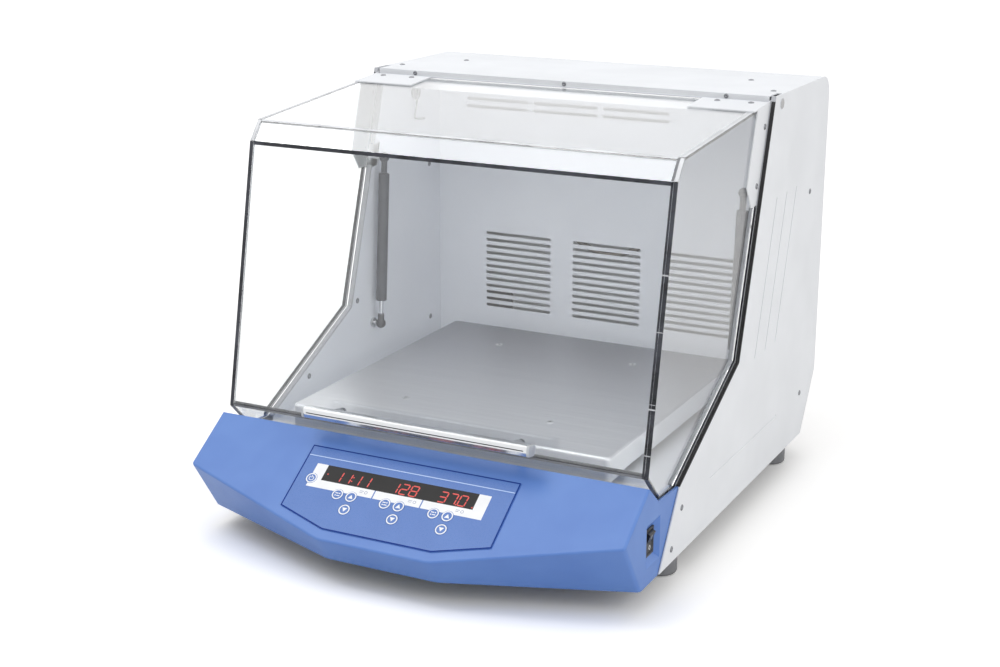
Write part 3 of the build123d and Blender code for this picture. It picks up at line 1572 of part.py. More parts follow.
with BuildPart() as fan_motor:
    with BuildSketch(Plane.XZ.offset(-fan_motor_y)):
        with Locations((0, fan_z)):
            Circle(fan_motor_radius)
    extrude(amount=-(rear_inner_y - fan_motor_y))
    with BuildSketch(Plane.XZ.offset(-fan_motor_y)):
        with Locations((0, fan_z)):
            Circle(fan_shaft_radius + crank_clearance)
    extrude(amount=-fan_shaft_depth, mode=Mode.SUBTRACT)
fan_motor.part.label = "fan_motor"
export_step(fan_motor.part, "parts/fan_motor.step")

heater_y = deck_back_y + 3.0 + heater_wire_radius
heater_clip = 10.0

with BuildPart() as heater_coil:
    with Locations(Plane(origin=(0, heater_y, fan_z), z_dir=(0, 1, 0))):
        Torus(heater_radius, heater_wire_radius)
    with BuildSketch(Plane.XZ.offset(-deck_back_y)):
        with Locations((0, fan_z)):
            with PolarLocations(heater_radius, 3, start_angle=90):
                Rectangle(heater_clip, heater_clip)
    extrude(amount=-(heater_y - deck_back_y))
heater_coil.part.label = "heater_coil"
export_step(heater_coil.part, "parts/heater_coil.step")

inlet_flange_width = 50.0
inlet_flange_height = 27.0
inlet_flange = 3.0
inlet_depth = 26.0
inlet_wall = 2.0
inlet_gap = 0.3
inlet_pin_pitch = 7.0

with BuildPart() as mains_inlet:
    with BuildSketch(Plane.XZ.offset(-rear_inner_y)):
        with Locations((inlet_x, inlet_z)):
            RectangleRounded(inlet_flange_width, inlet_flange_height, 3)
    extrude(amount=inlet_flange)
    with BuildSketch(Plane.XZ.offset(-rear_y)):
        with Locations((inlet_x, inlet_z)):
            Rectangle(inlet_width - 2 * inlet_gap, inlet_height - 2 * inlet_gap)
    extrude(amount=inlet_depth)
    with BuildSketch(Plane.XZ.offset(-rear_y)):
        with Locations((inlet_x, inlet_z)):
            Rectangle(
                inlet_width - 2 * inlet_gap - 2 * inlet_wall,
                inlet_height - 2 * inlet_gap - 2 * inlet_wall,
            )
    extrude(amount=inlet_depth - 6, mode=Mode.SUBTRACT)
    with BuildSketch(Plane.XZ.offset(-(rear_y - inlet_depth + 6))):
        with Locations((inlet_x, inlet_z)):
            with Locations((-inlet_pin_pitch, -2), (inlet_pin_pitch, -2), (0, 3)):
                Rectangle(2, 4.5)
    extrude(amount=-14)
mains_inlet.part.label = "mains_inlet"
export_step(mains_inlet.part, "parts/mains_inlet.step")

# ---------------------------------------------------------------- feet and screws
foot_x = half_width - foot_inset
foot_ys = [front_y + front_foot_from_front, rear_y - rear_foot_from_rear]
foot_places = [(side * foot_x, foot_y) for side in (-1, 1) for foot_y in foot_ys]
foot_round = 4.0

with BuildPart() as feet:
    with BuildSketch():
        with Locations(*foot_places):
            Circle(foot_radius)
    extrude(amount=underside_z)
    fillet(feet.faces().group_by(Axis.Z)[0].edges(), foot_round)
feet.part.label = "feet"
export_step(feet.part, "parts/feet.step")

with BuildPart() as cabinet_screws:
    with BuildSketch(Plane.YZ.offset(half_width)):
        with Locations(*side_screw_places):
            Circle(screw_head_radius)
    extrude(amount=screw_head)
    with BuildSketch(Plane.YZ.offset(half_width)):
        with Locations(*side_screw_places):
            Circle(screw_shank_radius)
    extrude(amount=-screw_shank)
    with BuildSketch(Plane.YZ.offset(chamber_half_width)):
        with Locations(*wall_screw_places):
            Circle(screw_head_radius)
    extrude(amount=-screw_head)
    with BuildSketch(Plane.YZ.offset(chamber_half_width)):
        with Locations(*wall_screw_places):
            Circle(screw_shank_radius)
    extrude(amount=screw_shank)
    mirror(about=Plane.YZ)
    with BuildSketch(Plane.XY.offset(instrument_height)):
        with Locations(*roof_screw_places):
            Circle(screw_shank_radius)
    extrude(amount=-screw_shank)
    with BuildSketch(Plane.XY.offset(instrument_height)):
        with Locations(*roof_screw_places):
            Circle(screw_head_radius)
    extrude(amount=screw_head)
    with BuildSketch(Plane.XZ.offset(-roof_lip_y)):
        with Locations((0, instrument_height - lip_drop / 2)):
            with GridLocations(lip_screw_pitch, 1, 3, 1):
                Circle(screw_shank_radius)
    extrude(amount=-screw_shank)
    with BuildSketch(Plane.XZ.offset(-roof_lip_y)):
        with Locations((0, instrument_height - lip_drop / 2)):
            with GridLocations(lip_screw_pitch, 1, 3, 1):
                Circle(0.8 * screw_head_radius)
    extrude(amount=screw_head)
cabinet_screws.part.label = "cabinet_screws"
export_step(cabinet_screws.part, "parts/cabinet_screws.step")
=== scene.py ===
# %% [markdown]
# # Incubated benchtop shaker
# A white sheet-metal cabinet with a heated chamber, a clear acrylic hood, an orbiting
# tray and a blue moulded housing with a printed keypad. The rigid pieces come from the
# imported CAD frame. This lesson gives them their real finishes and adds what CAD leaves
# out: polished hood sheets, print, the lit display and small fasteners.

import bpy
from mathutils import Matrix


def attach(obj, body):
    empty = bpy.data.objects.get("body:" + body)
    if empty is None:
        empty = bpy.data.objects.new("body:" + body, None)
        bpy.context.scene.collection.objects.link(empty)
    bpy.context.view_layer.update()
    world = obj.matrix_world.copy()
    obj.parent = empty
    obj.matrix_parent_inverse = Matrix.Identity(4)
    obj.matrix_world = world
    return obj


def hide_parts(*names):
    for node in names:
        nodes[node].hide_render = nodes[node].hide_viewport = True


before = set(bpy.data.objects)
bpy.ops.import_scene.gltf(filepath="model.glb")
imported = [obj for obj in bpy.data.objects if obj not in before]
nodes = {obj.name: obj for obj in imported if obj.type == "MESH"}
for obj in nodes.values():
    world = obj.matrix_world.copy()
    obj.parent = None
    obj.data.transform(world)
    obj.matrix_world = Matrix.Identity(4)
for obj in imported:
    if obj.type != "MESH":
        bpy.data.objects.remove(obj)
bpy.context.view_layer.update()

import bpy
import numpy as np
from mathutils import Matrix, Vector

MM = 0.001                    # lengths below are in millimetres, Blender works in metres
scene = bpy.context.scene

# %% [markdown]
# ## Colours and nodes
# A colour is written as the eye reads it, as sRGB hex, but light adds up in linear
# values, so one function applies the standard curve. A material is a small graph of
# nodes: one function adds any node, sets its options and fills or links its sockets,
# so that each finish below reads as a short recipe.

# %% Colour and node helpers


def linear(hex_colour):
    """sRGB hex as linear RGBA: c / 12.92 below 0.04045, else ((c + 0.055) / 1.055) to the 2.4."""
    channels = np.array([int(hex_colour[i:i + 2], 16) for i in (1, 3, 5)]) / 255
    curve = np.where(channels <= 0.04045, channels / 12.92, ((channels + 0.055) / 1.055) ** 2.4)
    return (*curve.tolist(), 1.0)


def add(tree, kind, inputs=None, **options):
    """Adds a node: options are its settings, inputs give a socket a value or another output."""
    made = tree.nodes.new(kind)
    for name, value in options.items():
        setattr(made, name, value)
    for socket, value in (inputs or {}).items():
        if isinstance(value, bpy.types.NodeSocket):
            tree.links.new(value, made.inputs[socket])
        else:
            made.inputs[socket].default_value = value
    return made


def blank(name):
    """A new material with an empty node tree."""
    material = bpy.data.materials.new(name)
    material.use_nodes = True
    material.node_tree.nodes.clear()
    return material, material.node_tree


def pigment(name, dark, light, roughness, patch_mm, grain_mm, grain_depth_mm,
            stretch=(1, 1, 1), **plain):
    """A finish whose colour drifts between two tones over patches, with a finer grain in relief.

    colour = dark to light by noise of patch_mm; roughness follows the grain by +-0.06;
    height = noise of grain_mm, grain_depth_mm high. A stretch below 1 draws both out along
    that axis. Noise seldom leaves 0.3 to 0.7, so the ramps span that. plain names other
    sockets, with _ for a space.
    """
    material, tree = blank(name)
    place = add(tree, "ShaderNodeTexCoord").outputs["Object"]
    along = add(tree, "ShaderNodeMapping", {"Vector": place, "Scale": stretch}).outputs["Vector"]
    patches = add(tree, "ShaderNodeTexNoise", {"Vector": along, "Scale": 1 / (patch_mm * MM)})
    grain = add(tree, "ShaderNodeTexNoise",
                {"Vector": along, "Scale": 1 / (grain_mm * MM), "Detail": 3.0})
    tone = add(tree, "ShaderNodeValToRGB", {"Fac": patches.outputs["Fac"]})
    tone.color_ramp.elements[0].position = 0.32
    tone.color_ramp.elements[0].color = linear(dark)
    tone.color_ramp.elements[1].position = 0.68
    tone.color_ramp.elements[1].color = linear(light)
    rough = add(tree, "ShaderNodeMapRange", {
        "Value": grain.outputs["Fac"], "From Min": 0.3, "From Max": 0.7,
        "To Min": roughness - 0.06, "To Max": roughness + 0.06,
    })
    relief = add(tree, "ShaderNodeBump", {
        "Height": grain.outputs["Fac"], "Distance": grain_depth_mm * MM, "Strength": 0.5,
    })
    shader = add(tree, "ShaderNodeBsdfPrincipled", {
        "Base Color": tone.outputs["Color"],
        "Roughness": rough.outputs["Result"],
        "Normal": relief.outputs["Normal"],
        **{socket.replace("_", " "): value for socket, value in plain.items()},
    })
    add(tree, "ShaderNodeOutputMaterial", {"Surface": shader.outputs["BSDF"]})
    return material


# %% [markdown]
# ## Camera
# The photograph was taken from the front right, a little above, with a long lens, so
# upright edges stay nearly upright. Place and lens come from a fit to the straight
# edges of cabinet and hood; the small shift sets the object a little off the middle.

# %% Camera
view_azimuth, view_down, view_roll = np.radians([26.33, 15.54, 0.30])
ahead = Vector((
    -np.sin(view_azimuth) * np.cos(view_down),
    np.cos(view_azimuth) * np.cos(view_down),
    -np.sin(view_down),
))
level_right = Vector((np.cos(view_azimuth), np.sin(view_azimuth), 0.0))
level_up = level_right.cross(ahead)
camera_right = np.cos(view_roll) * level_right + np.sin(view_roll) * level_up
camera_up = np.cos(view_roll) * level_up - np.sin(view_roll) * level_right
camera_turn = Matrix((camera_right, camera_up, -ahead)).transposed().to_4x4()

lens = bpy.data.cameras.new("camera")
lens.sensor_width = 36.0
lens.lens = 60.84
lens.shift_x = -0.0152
lens.shift_y = -0.0257
lens.clip_end = 50.0
camera = bpy.data.objects.new("camera", lens)
camera.matrix_world = Matrix.Translation((0.9295, -1.8855, 0.8403)) @ camera_turn
scene.collection.objects.link(camera)
scene.camera = camera
print("camera looks along", [round(v, 3) for v in ahead])

# %% [markdown]
# ## Studio
# White goods are shot on a white sweep under large soft boxes. An even sky gives every
# face its plain colour, two square soft boxes give form and shadow, and a narrow strip
# box stands where the hood's upper chamfer mirrors it. By Light Path the sky is brighter
# where it is seen, mirrored or looked at through a clear sheet than as a lamp, so the
# background is white without more light on the object. A ray through a clear sheet
# counts as glossy and as transmission, so both changes add up for it.

# %% Sky
scene.view_settings.view_transform = "Standard"
world = bpy.data.worlds.new("studio_sky")
scene.world = world
world.use_nodes = True
sky = world.node_tree
sky.nodes.clear()
sky_strength = 0.72           # as a lamp
seen_strength = 1.6           # as the camera sees it
gloss_change = -0.25          # less where a surface mirrors it
clear_change = 0.16           # a little more through a clear sheet
ray = add(sky, "ShaderNodeLightPath").outputs
straight = add(sky, "ShaderNodeMath", {0: ray["Is Camera Ray"], 1: ray["Is Glossy Ray"]},
               operation="ADD")
shown = add(sky, "ShaderNodeMath", {0: straight.outputs[0], 1: ray["Is Transmission Ray"]},
            operation="ADD", use_clamp=True)
sky_light = add(sky, "ShaderNodeBackground",
                {"Color": linear("#F8F9FB"), "Strength": sky_strength})
mirrored = add(sky, "ShaderNodeMath",
               {0: ray["Is Glossy Ray"], 1: gloss_change, 2: seen_strength},
               operation="MULTIPLY_ADD")
bright = add(sky, "ShaderNodeMath",
             {0: ray["Is Transmission Ray"], 1: clear_change, 2: mirrored.outputs[0]},
             operation="MULTIPLY_ADD")
sky_shown = add(sky, "ShaderNodeBackground",
                {"Color": (1, 1, 1, 1), "Strength": bright.outputs[0]})
sky_mix = add(sky, "ShaderNodeMixShader",
              {0: shown.outputs[0], 1: sky_light.outputs[0], 2: sky_shown.outputs[0]})
add(sky, "ShaderNodeOutputWorld", {"Surface": sky_mix.outputs[0]})
print("sky:", sky_strength, "as a lamp,", seen_strength, "as seen")

# %% Soft boxes
for name, place, aim, size, depth, power in (      # metres and watts
    ("key_box", (-0.7, -0.7, 2.9), (0, 0, 0.2), 2.2, 2.2, 18),
    ("side_box", (2.6, -0.9, 1.6), (0, 0, 0.3), 2.0, 2.0, 20),
    ("strip_box", (-1.25, -1.17, 2.58), (-1.25, -0.17, 0.49), 1.8, 0.4, 10),
):
    box_light = bpy.data.lights.new(name, "AREA")
    box_light.shape = "RECTANGLE"
    box_light.size = size
    box_light.size_y = depth
    box_light.energy = power
    lamp = bpy.data.objects.new(name, box_light)
    lamp.location = place
    lamp.rotation_euler = (Vector(aim) - Vector(place)).to_track_quat("-Z", "Y").to_euler()
    scene.collection.objects.link(lamp)
    print(name, power, "W")

# %% [markdown]
# ## Paper sweep
# The instrument stands on warm white paper. Where the camera sees the paper, straight or
# through a clear sheet, a second diffuse layer is added that grows with the distance. So
# the sweep runs into the white background while the soft shadow stays near the feet, and
# the light that the paper throws back on the object is that of plain paper.

# %% Paper sweep
reach = 30.0                  # metres
near, far = 0.7, 2.2          # metres from the middle, where the second layer grows
near_gain, far_gain = 0.36, 0.66
floor_mesh = bpy.data.meshes.new("floor")
floor_mesh.from_pydata(
    [(-reach, -reach, 0), (reach, -reach, 0), (reach, reach, 0), (-reach, reach, 0)],
    [], [(0, 1, 2, 3)],
)
floor = bpy.data.objects.new("floor", floor_mesh)
scene.collection.objects.link(floor)
paper, tree = blank("pale_paper_sweep")
ray = add(tree, "ShaderNodeLightPath").outputs
straight = add(tree, "ShaderNodeMath", {0: ray["Is Camera Ray"], 1: ray["Is Transmission Ray"]},
               operation="ADD", use_clamp=True)
plain_paper = add(tree, "ShaderNodeBsdfDiffuse", {"Color": linear("#F6F4F1")})
place = add(tree, "ShaderNodeTexCoord").outputs["Object"]
away = add(tree, "ShaderNodeVectorMath", {0: place}, operation="LENGTH")
gain = add(tree, "ShaderNodeMapRange", {
    "Value": away.outputs["Value"], "From Min": near, "From Max": far,
    "To Min": near_gain, "To Max": far_gain,
})
more_paper = add(tree, "ShaderNodeBsdfDiffuse", {"Color": gain.outputs["Result"]})
white_paper = add(tree, "ShaderNodeAddShader",
                  {0: plain_paper.outputs[0], 1: more_paper.outputs[0]})
paper_mix = add(tree, "ShaderNodeMixShader",
                {0: straight.outputs[0], 1: plain_paper.outputs[0], 2: white_paper.outputs[0]})
add(tree, "ShaderNodeOutputMaterial", {"Surface": paper_mix.outputs[0]})
floor_mesh.materials.append(paper)
print("paper", 2 * reach, "m wide, second layer", near_gain, "to", far_gain)

# %% [markdown]
# ## Powder coat and moulded plastic
# The panels are steel sheet with a baked powder coat: white and half matt, with the
# orange peel that powder leaves as it melts, crests about 1.6 mm apart. The housing is
# injection-moulded ABS with a spark-eroded grain, really 0.3 mm and drawn at 0.8 mm so
# that it shows. Noise on Object coordinates suits both, because neither has a direction.

# %% Powder coats and ABS
# Panels: white and half matt, with a weak sheen over the orange peel.
powder_coat = pigment("powder_coated_steel_white", "#E4E6E9", "#EAECEF", 0.46, 90, 1.6, 0.02,
                      Specular_IOR_Level=0.25)
# Chamber: the same coat, a little flatter and cooler.
chamber_coat = pigment("powder_coated_steel_chamber", "#E6E9F0", "#ECEFF5", 0.5, 120, 1.6, 0.015)
# Housing: even blue, the grain spreads each highlight.
blue_abs = pigment("moulded_abs_blue", "#557DC4", "#5D85CA", 0.36, 60, 0.8, 0.02)
# Keypad foil and keys: printed from behind, darker and smoother than the housing. Its
# velvet grain is really 0.1 mm and is drawn at 0.6 mm.
foil_blue = pigment("printed_polyester_blue", "#4B73B9", "#4F77BD", 0.3, 40, 0.6, 0.006)
print("coats and mouldings:", [m.name for m in (powder_coat, chamber_coat, blue_abs, foil_blue)])

# %% [markdown]
# ## Metals
# Brushing and drawing leave long fine lines, so the same grain is stretched along one
# axis. The tray and the handle are anodised aluminium; studs, pins and stand-offs are
# nickel plated; screws and inner sheet parts are zinc plated; the strut rods are ground
# and chromed. Rough metal shows the room as a broad glow, smooth metal as stripes. Brush
# and tool marks are really about 0.1 mm apart; they are drawn at 0.6 to 0.9 mm so that
# they show.

# %% Metals
along_x = (0.02, 1, 1)        # grain drawn out fifty times along x
# Tray: matt brushed lines. The next step gives it its Metallic value.
tray_metal = pigment("brushed_aluminium_tray", "#D6D8DD", "#DEE0E4", 0.4, 6, 0.9, 0.004, along_x)
# Handle: polished after drawing, clear stripes with soft edges.
handle_metal = pigment("polished_aluminium_handle", "#DCDEE1", "#E6E8EA", 0.2, 12, 0.8, 0.002,
                       along_x, Metallic=1.0)
# Inner sheet: dull grey with a faint spangle.
zinc_sheet = pigment("zinc_plated_sheet", "#9A9DA1", "#B4B7BA", 0.42, 14, 3, 0.01, Metallic=1.0)
# Rods: nearly a mirror, with marks along the rod.
rod_metal = pigment("chromed_rod", "#C8CACE", "#DCDEE0", 0.14, 6, 0.6, 0.002, (1, 1, 0.2),
                    Metallic=1.0)
# Nickel: bright and neutral.
plated = pigment("nickel_plated_steel", "#C6C7CA", "#DCDDDE", 0.2, 5, 0.9, 0.003, Metallic=1.0)
# Screws: darker, so that the small domes stand out from the white panels.
screw_zinc = pigment("zinc_plated_screws", "#7A7C80", "#909296", 0.3, 5, 0.9, 0.003, Metallic=1.0)
# Drive castings: dull, with coarse tool marks.
cast_iron = pigment("machined_cast_iron", "#6A6D70", "#868A8D", 0.48, 9, 2.2, 0.02, Metallic=1.0)
# Heater: dull and brownish from the heat.
heater_tube = pigment("heat_toned_steel", "#5E5A56", "#7A726A", 0.42, 16, 1.5, 0.02, Metallic=1.0)
# Inserts of the tray: a pale silky steel.
insert_steel = pigment("satin_steel_insert", "#D4D6D9", "#DEE0E2", 0.3, 6, 0.6, 0.005,
                       Metallic=0.8)
print("metals:", [m.name for m in (tray_metal, handle_metal, zinc_sheet, rod_metal, plated,
                                   screw_zinc, cast_iron, heater_tube, insert_steel)])

# %% [markdown]
# ## Rubber, enamel and dark plastic
# The seal is sponge rubber with a fine skin, the feet are moulded rubber, the strut
# tubes have grey enamel. Pores and specks are noise of half a millimetre to a
# millimetre, the size that the eye still sees at arm's length.

# %% Dark and grey finishes
# Rubbers: matt, the pores swallow the light.
seal_rubber = pigment("sponge_rubber_seal", "#161618", "#202022", 0.7, 18, 0.9, 0.04)
belt_rubber = pigment("belt_rubber_black", "#1A1A1C", "#242426", 0.65, 12, 0.9, 0.03)
foot_rubber = pigment("moulded_rubber_grey", "#77787B", "#818285", 0.62, 22, 0.9, 0.04)
# Enamels: smooth paint, one soft highlight along a tube.
strut_enamel = pigment("strut_enamel_grey", "#45474F", "#4E5058", 0.34, 30, 1.2, 0.006)
motor_enamel = pigment("motor_enamel_black", "#26282C", "#303236", 0.5, 25, 1.2, 0.02)
# Nylons: waxy, from a black rocker to silver grey end caps.
socket_nylon = pigment("ball_socket_nylon", "#3C3E44", "#46484F", 0.4, 12, 0.8, 0.01)
switch_nylon = pigment("nylon_black", "#141416", "#1C1C1E", 0.34, 12, 0.6, 0.012)
cap_nylon = pigment("end_cap_silver_grey", "#B4B7BB", "#C0C3C7", 0.36, 10, 0.7, 0.01)
probe_nylon = pigment("probe_sleeve_grey", "#5C5F64", "#686B70", 0.4, 14, 0.8, 0.01)
# Circuit board: green lacquer.
solder_mask = pigment("solder_mask_green", "#1E5A34", "#276A3E", 0.4, 30, 2.0, 0.01)
print("rubbers, enamels and nylons:", [m.name for m in (
    seal_rubber, belt_rubber, foot_rubber, strut_enamel, motor_enamel, socket_nylon,
    switch_nylon, cap_nylon, probe_nylon, solder_mask)])

# %% [markdown]
# ## Bent edges of the tray
# The turned-down edges of the tray are blasted, not brushed, so they scatter the light
# of the room where the plate mirrors the dark rear of the chamber. One material does
# both: below the height of the plate it is paler and not metallic. Towards the rear the
# plate's colour is darkened by painted shade, for the dark end of the chamber it mirrors.

# %% Bent edges of the tray
plate_from, plate_to = 149.2, 150.6    # z where the bend turns into the plate
front_end, rear_end = -190, 220        # y over which the tone deepens
painted_shade_share = 0.95                      # of the deep tone, at the rear end
plate_metallic = 0.6
tree = tray_metal.node_tree
place = add(tree, "ShaderNodeTexCoord").outputs["Object"]
sides = add(tree, "ShaderNodeSeparateXYZ", {"Vector": place}).outputs
rear = add(tree, "ShaderNodeMapRange", {
    "Value": sides["Y"], "From Min": front_end * MM, "From Max": rear_end * MM,
    "To Min": 0.0, "To Max": painted_shade_share,
}).outputs["Result"]
on_plate = add(tree, "ShaderNodeMapRange", {
    "Value": sides["Z"], "From Min": plate_from * MM, "From Max": plate_to * MM,
    "To Min": 0.0, "To Max": 1.0,
}).outputs["Result"]
shader = tree.nodes["Principled BSDF"]
brushed = shader.inputs["Base Color"].links[0].from_socket
# Painted shade: towards the rear the plate's colour is mixed with a dark grey.
painted_rear_shade = add(tree, "ShaderNodeMix", {0: rear, 6: brushed, 7: linear("#8A8C95")},
             data_type="RGBA")
blasted = add(tree, "ShaderNodeMix", {0: on_plate, 6: linear("#ECEEF1"), 7: painted_rear_shade.outputs[2]},
              data_type="RGBA")
metallic = add(tree, "ShaderNodeMath", {0: on_plate, 1: plate_metallic}, operation="MULTIPLY")
tree.links.new(blasted.outputs[2], shader.inputs["Base Color"])
tree.links.new(metallic.outputs[0], shader.inputs["Metallic"])
print(tray_metal.name, "is plate above z", plate_to, "and blasted below", plate_from)

# %% [markdown]
# ## Two-tone seal
# The seal is extruded from two rubbers: a black lip along the outer edge, which closes
# the gap beside the hood, and a light grey pad behind it that the hood rests on. Both
# run along the same strip, so the distance from the middle decides which one it is. The
# strip across the top is pad all over.

# %% Light pad of the seal
pad_half = 285.3              # x where the pad meets the lip
pad_top = 526                 # z above which all is pad
tree = seal_rubber.node_tree
shader = tree.nodes["Principled BSDF"]
black = shader.inputs["Base Color"].links[0].from_socket
place = add(tree, "ShaderNodeTexCoord").outputs["Object"]
sides = add(tree, "ShaderNodeSeparateXYZ", {"Vector": place}).outputs
from_middle = add(tree, "ShaderNodeMath", {0: sides["X"]}, operation="ABSOLUTE")
inner = add(tree, "ShaderNodeMath", {0: from_middle.outputs[0], 1: pad_half * MM},
            operation="LESS_THAN")
top_end = add(tree, "ShaderNodeMath", {0: sides["Z"], 1: pad_top * MM},
              operation="GREATER_THAN")
pad = add(tree, "ShaderNodeMath", {0: inner.outputs[0], 1: top_end.outputs[0]},
          operation="MAXIMUM")
two_tone = add(tree, "ShaderNodeMix", {0: pad.outputs[0], 6: black, 7: linear("#B4B6BB")},
               data_type="RGBA")
tree.links.new(two_tone.outputs[2], shader.inputs["Base Color"])
print(seal_rubber.name, "is pad within", pad_half, "mm of the middle and above z", pad_top)

# %% [markdown]
# ## Cast acrylic
# The hood is 5 mm cast acrylic with polished edges. It is one clear dielectric with an
# IOR of 1.49: its faces stay nearly unseen and its edges turn dark or bright by
# themselves, because light is caught inside the sheet. A faint ripple of the polish,
# 40 mm from crest to crest, keeps the reflections from being dead flat.

# %% Acrylic
ripple_mm = 40
acrylic, tree = blank("cast_acrylic_clear")
place = add(tree, "ShaderNodeTexCoord").outputs["Object"]
ripple = add(tree, "ShaderNodeTexNoise",
             {"Vector": place, "Scale": 1 / (ripple_mm * MM), "Detail": 0.0})
wave = add(tree, "ShaderNodeBump",
           {"Height": ripple.outputs["Fac"], "Distance": 0.02 * MM, "Strength": 0.3})
shader = add(tree, "ShaderNodeBsdfPrincipled", {
    "Base Color": linear("#FCFDFD"), "Roughness": 0.0, "IOR": 1.49,
    "Transmission Weight": 1.0, "Normal": wave.outputs["Normal"],
})
add(tree, "ShaderNodeOutputMaterial", {"Surface": shader.outputs["BSDF"]})
print(acrylic.name, "with a ripple of", ripple_mm, "mm")

# %% [markdown]
# ## Dress the CAD nodes
# Each solid of the CAD gets the finish of its real part in every material slot it has.
# The table lists finish by finish which parts share it, and the last line tells if a
# part was forgotten.

# %% Dress the CAD nodes
finishes = {
    powder_coat: ["left_side_panel", "right_side_panel", "roof_cover", "rear_panel",
                  "left_hinge_bracket", "right_hinge_bracket"],
    chamber_coat: ["chamber_left_wall", "chamber_right_wall", "chamber_back_wall",
                   "chamber_ceiling", "chamber_floor"],
    blue_abs: ["front_housing"],
    foil_blue: ["control_foil"] + [name for name in nodes if name.startswith("key_")],
    acrylic: [name for name in nodes if name.startswith("hood_")],
    tray_metal: ["shaker_tray"],
    handle_metal: ["handle_bar"],
    zinc_sheet: ["base_pan", "motor_pulley", "fan_wheel"],
    rod_metal: ["left_strut_rod", "right_strut_rod"],
    plated: ["handle_standoffs", "hinge_pins", "strut_wall_studs"],
    screw_zinc: ["cabinet_screws"],
    cast_iron: ["tray_carrier", "drive_crank", "left_idler_crank", "right_idler_crank",
                "bearing_blocks"],
    seal_rubber: ["opening_gasket"],
    belt_rubber: ["drive_belt"],
    foot_rubber: ["feet"],
    strut_enamel: ["left_strut_tube", "right_strut_tube"],
    switch_nylon: ["switch_body", "switch_rocker", "mains_inlet"],
    cap_nylon: ["handle_end_caps"],
    insert_steel: ["tray_inserts"],
    probe_nylon: ["temperature_probe"],
    motor_enamel: ["drive_motor", "fan_motor"],
    solder_mask: ["control_board"],
    heater_tube: ["heater_coil"],
}
for material, names in finishes.items():
    for name in names:
        for material_slot in nodes[name].material_slots:
            material_slot.material = material
bare = sorted(set(nodes) - {name for names in finishes.values() for name in names})
print("nodes without a finish:", bare)

# %% [markdown]
# ## Rings and rows
# Every added piece is one kind of surface: a closed outline repeated as rings along a
# path, joined ring to ring and closed at both ends. As arrays that is a grid of points,
# rings by places, and each face joins a place to the next one on the next ring. Sheets,
# screw heads, printed marks and pads are all such a grid, only with other outlines.

# %% Surfaces from rings


def ring_faces(rings, places, start=0):
    """Quads of a grid that closes round the outline, and one face for each end."""
    here = np.arange(rings * places).reshape(rings, places) + start
    after = np.roll(here, -1, axis=1)
    quads = np.stack([here[:-1], after[:-1], after[1:], here[1:]], axis=-1).reshape(-1, 4)
    return quads.tolist() + [here[0, ::-1].tolist(), here[-1].tolist()]


def build(name, grids, material, body, smooth=False):
    """One object from several ring grids, each an array of (rings, places, 3) in mm."""
    faces, start = [], 0
    for grid in grids:
        faces += ring_faces(grid.shape[0], grid.shape[1], start)
        start += grid.shape[0] * grid.shape[1]
    mesh = bpy.data.meshes.new(name)
    mesh.from_pydata((np.vstack([g.reshape(-1, 3) for g in grids]) * MM).tolist(), [], faces)
    mesh.materials.append(material)
    mesh.polygons.foreach_set("use_smooth", np.full(len(mesh.polygons), smooth))
    made = bpy.data.objects.new(name, mesh)
    scene.collection.objects.link(made)
    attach(made, body)
    print(f"{name}: {len(grids)} solids, {len(mesh.polygons)} faces")
    return made


def inset(outline, inward):
    """An anticlockwise outline with each side moved inwards: p + inward (n1 + n2) / (1 + n1.n2)."""
    ahead = np.roll(outline, -1, axis=0) - outline
    ahead /= np.linalg.norm(ahead, axis=1, keepdims=True)
    after = np.stack([-ahead[:, 1], ahead[:, 0]], axis=1)
    before = np.roll(after, 1, axis=0)
    return outline + inward * (after + before) / (1 + np.sum(after * before, axis=1, keepdims=True))


def lay(outline, heights, insets, origin, across, along):
    """Rings of an outline (u, v): origin + u across + v along + height out of the plane."""
    across, along = np.asarray(across, float), np.asarray(along, float)
    out = np.cross(across, along)
    rings = [inset(np.asarray(outline, float), shrink) for shrink in insets]
    return np.stack([
        np.asarray(origin, float) + np.outer(r[:, 0], across) + np.outer(r[:, 1], along) + h * out
        for r, h in zip(rings, heights)
    ])


def circle(radius, count, middle=(0.0, 0.0)):
    """Places round a circle: middle + radius (cos a, sin a)."""
    a = np.linspace(0, 2 * np.pi, count, endpoint=False)
    return np.stack([middle[0] + radius * np.cos(a), middle[1] + radius * np.sin(a)], axis=1)


def rectangle(u0, u1, v0, v1):
    """A rectangle's corners, anticlockwise."""
    return np.array([(u0, v0), (u1, v0), (u1, v1), (u0, v1)], float)


def anticlockwise(outline):
    """The same outline, turned round if its area by the shoelace sum is negative."""
    p = np.asarray(outline, float)
    q = np.roll(p, -1, axis=0)
    return p if np.sum(p[:, 0] * q[:, 1] - q[:, 0] * p[:, 1]) > 0 else p[::-1]


# %% [markdown]
# ## Hood sheets
# The real hood is six flat sheets cemented edge to edge. The CAD sheets touch exactly,
# and where two clear solids share one face, light can't tell which it is in. So each
# sheet is drawn again, 0.1 mm smaller all round, with a 0.5 mm polished bevel: the
# joints then show as the fine double lines of the photograph. A bevel modifier would
# also do it, but an outline with four rings is exact and has few faces.

# %% Hood sheets
sheet = 5.0
hood_half = 282.5
joint = 0.1                   # air left at each cemented edge
bevel = 0.5
# Corners of the side sheet, (y, z), from the rim at the back forwards and up over the top.
rim_back, rim_front = (-164.71, 118.5), (-208.1, 118.5)
low, brow, crown = (-242.0, 152.4), (-178.0, 478.2), (-159.0, 502.5)
back = (128.0, 524.58)
bend = (32.98, 214.92)


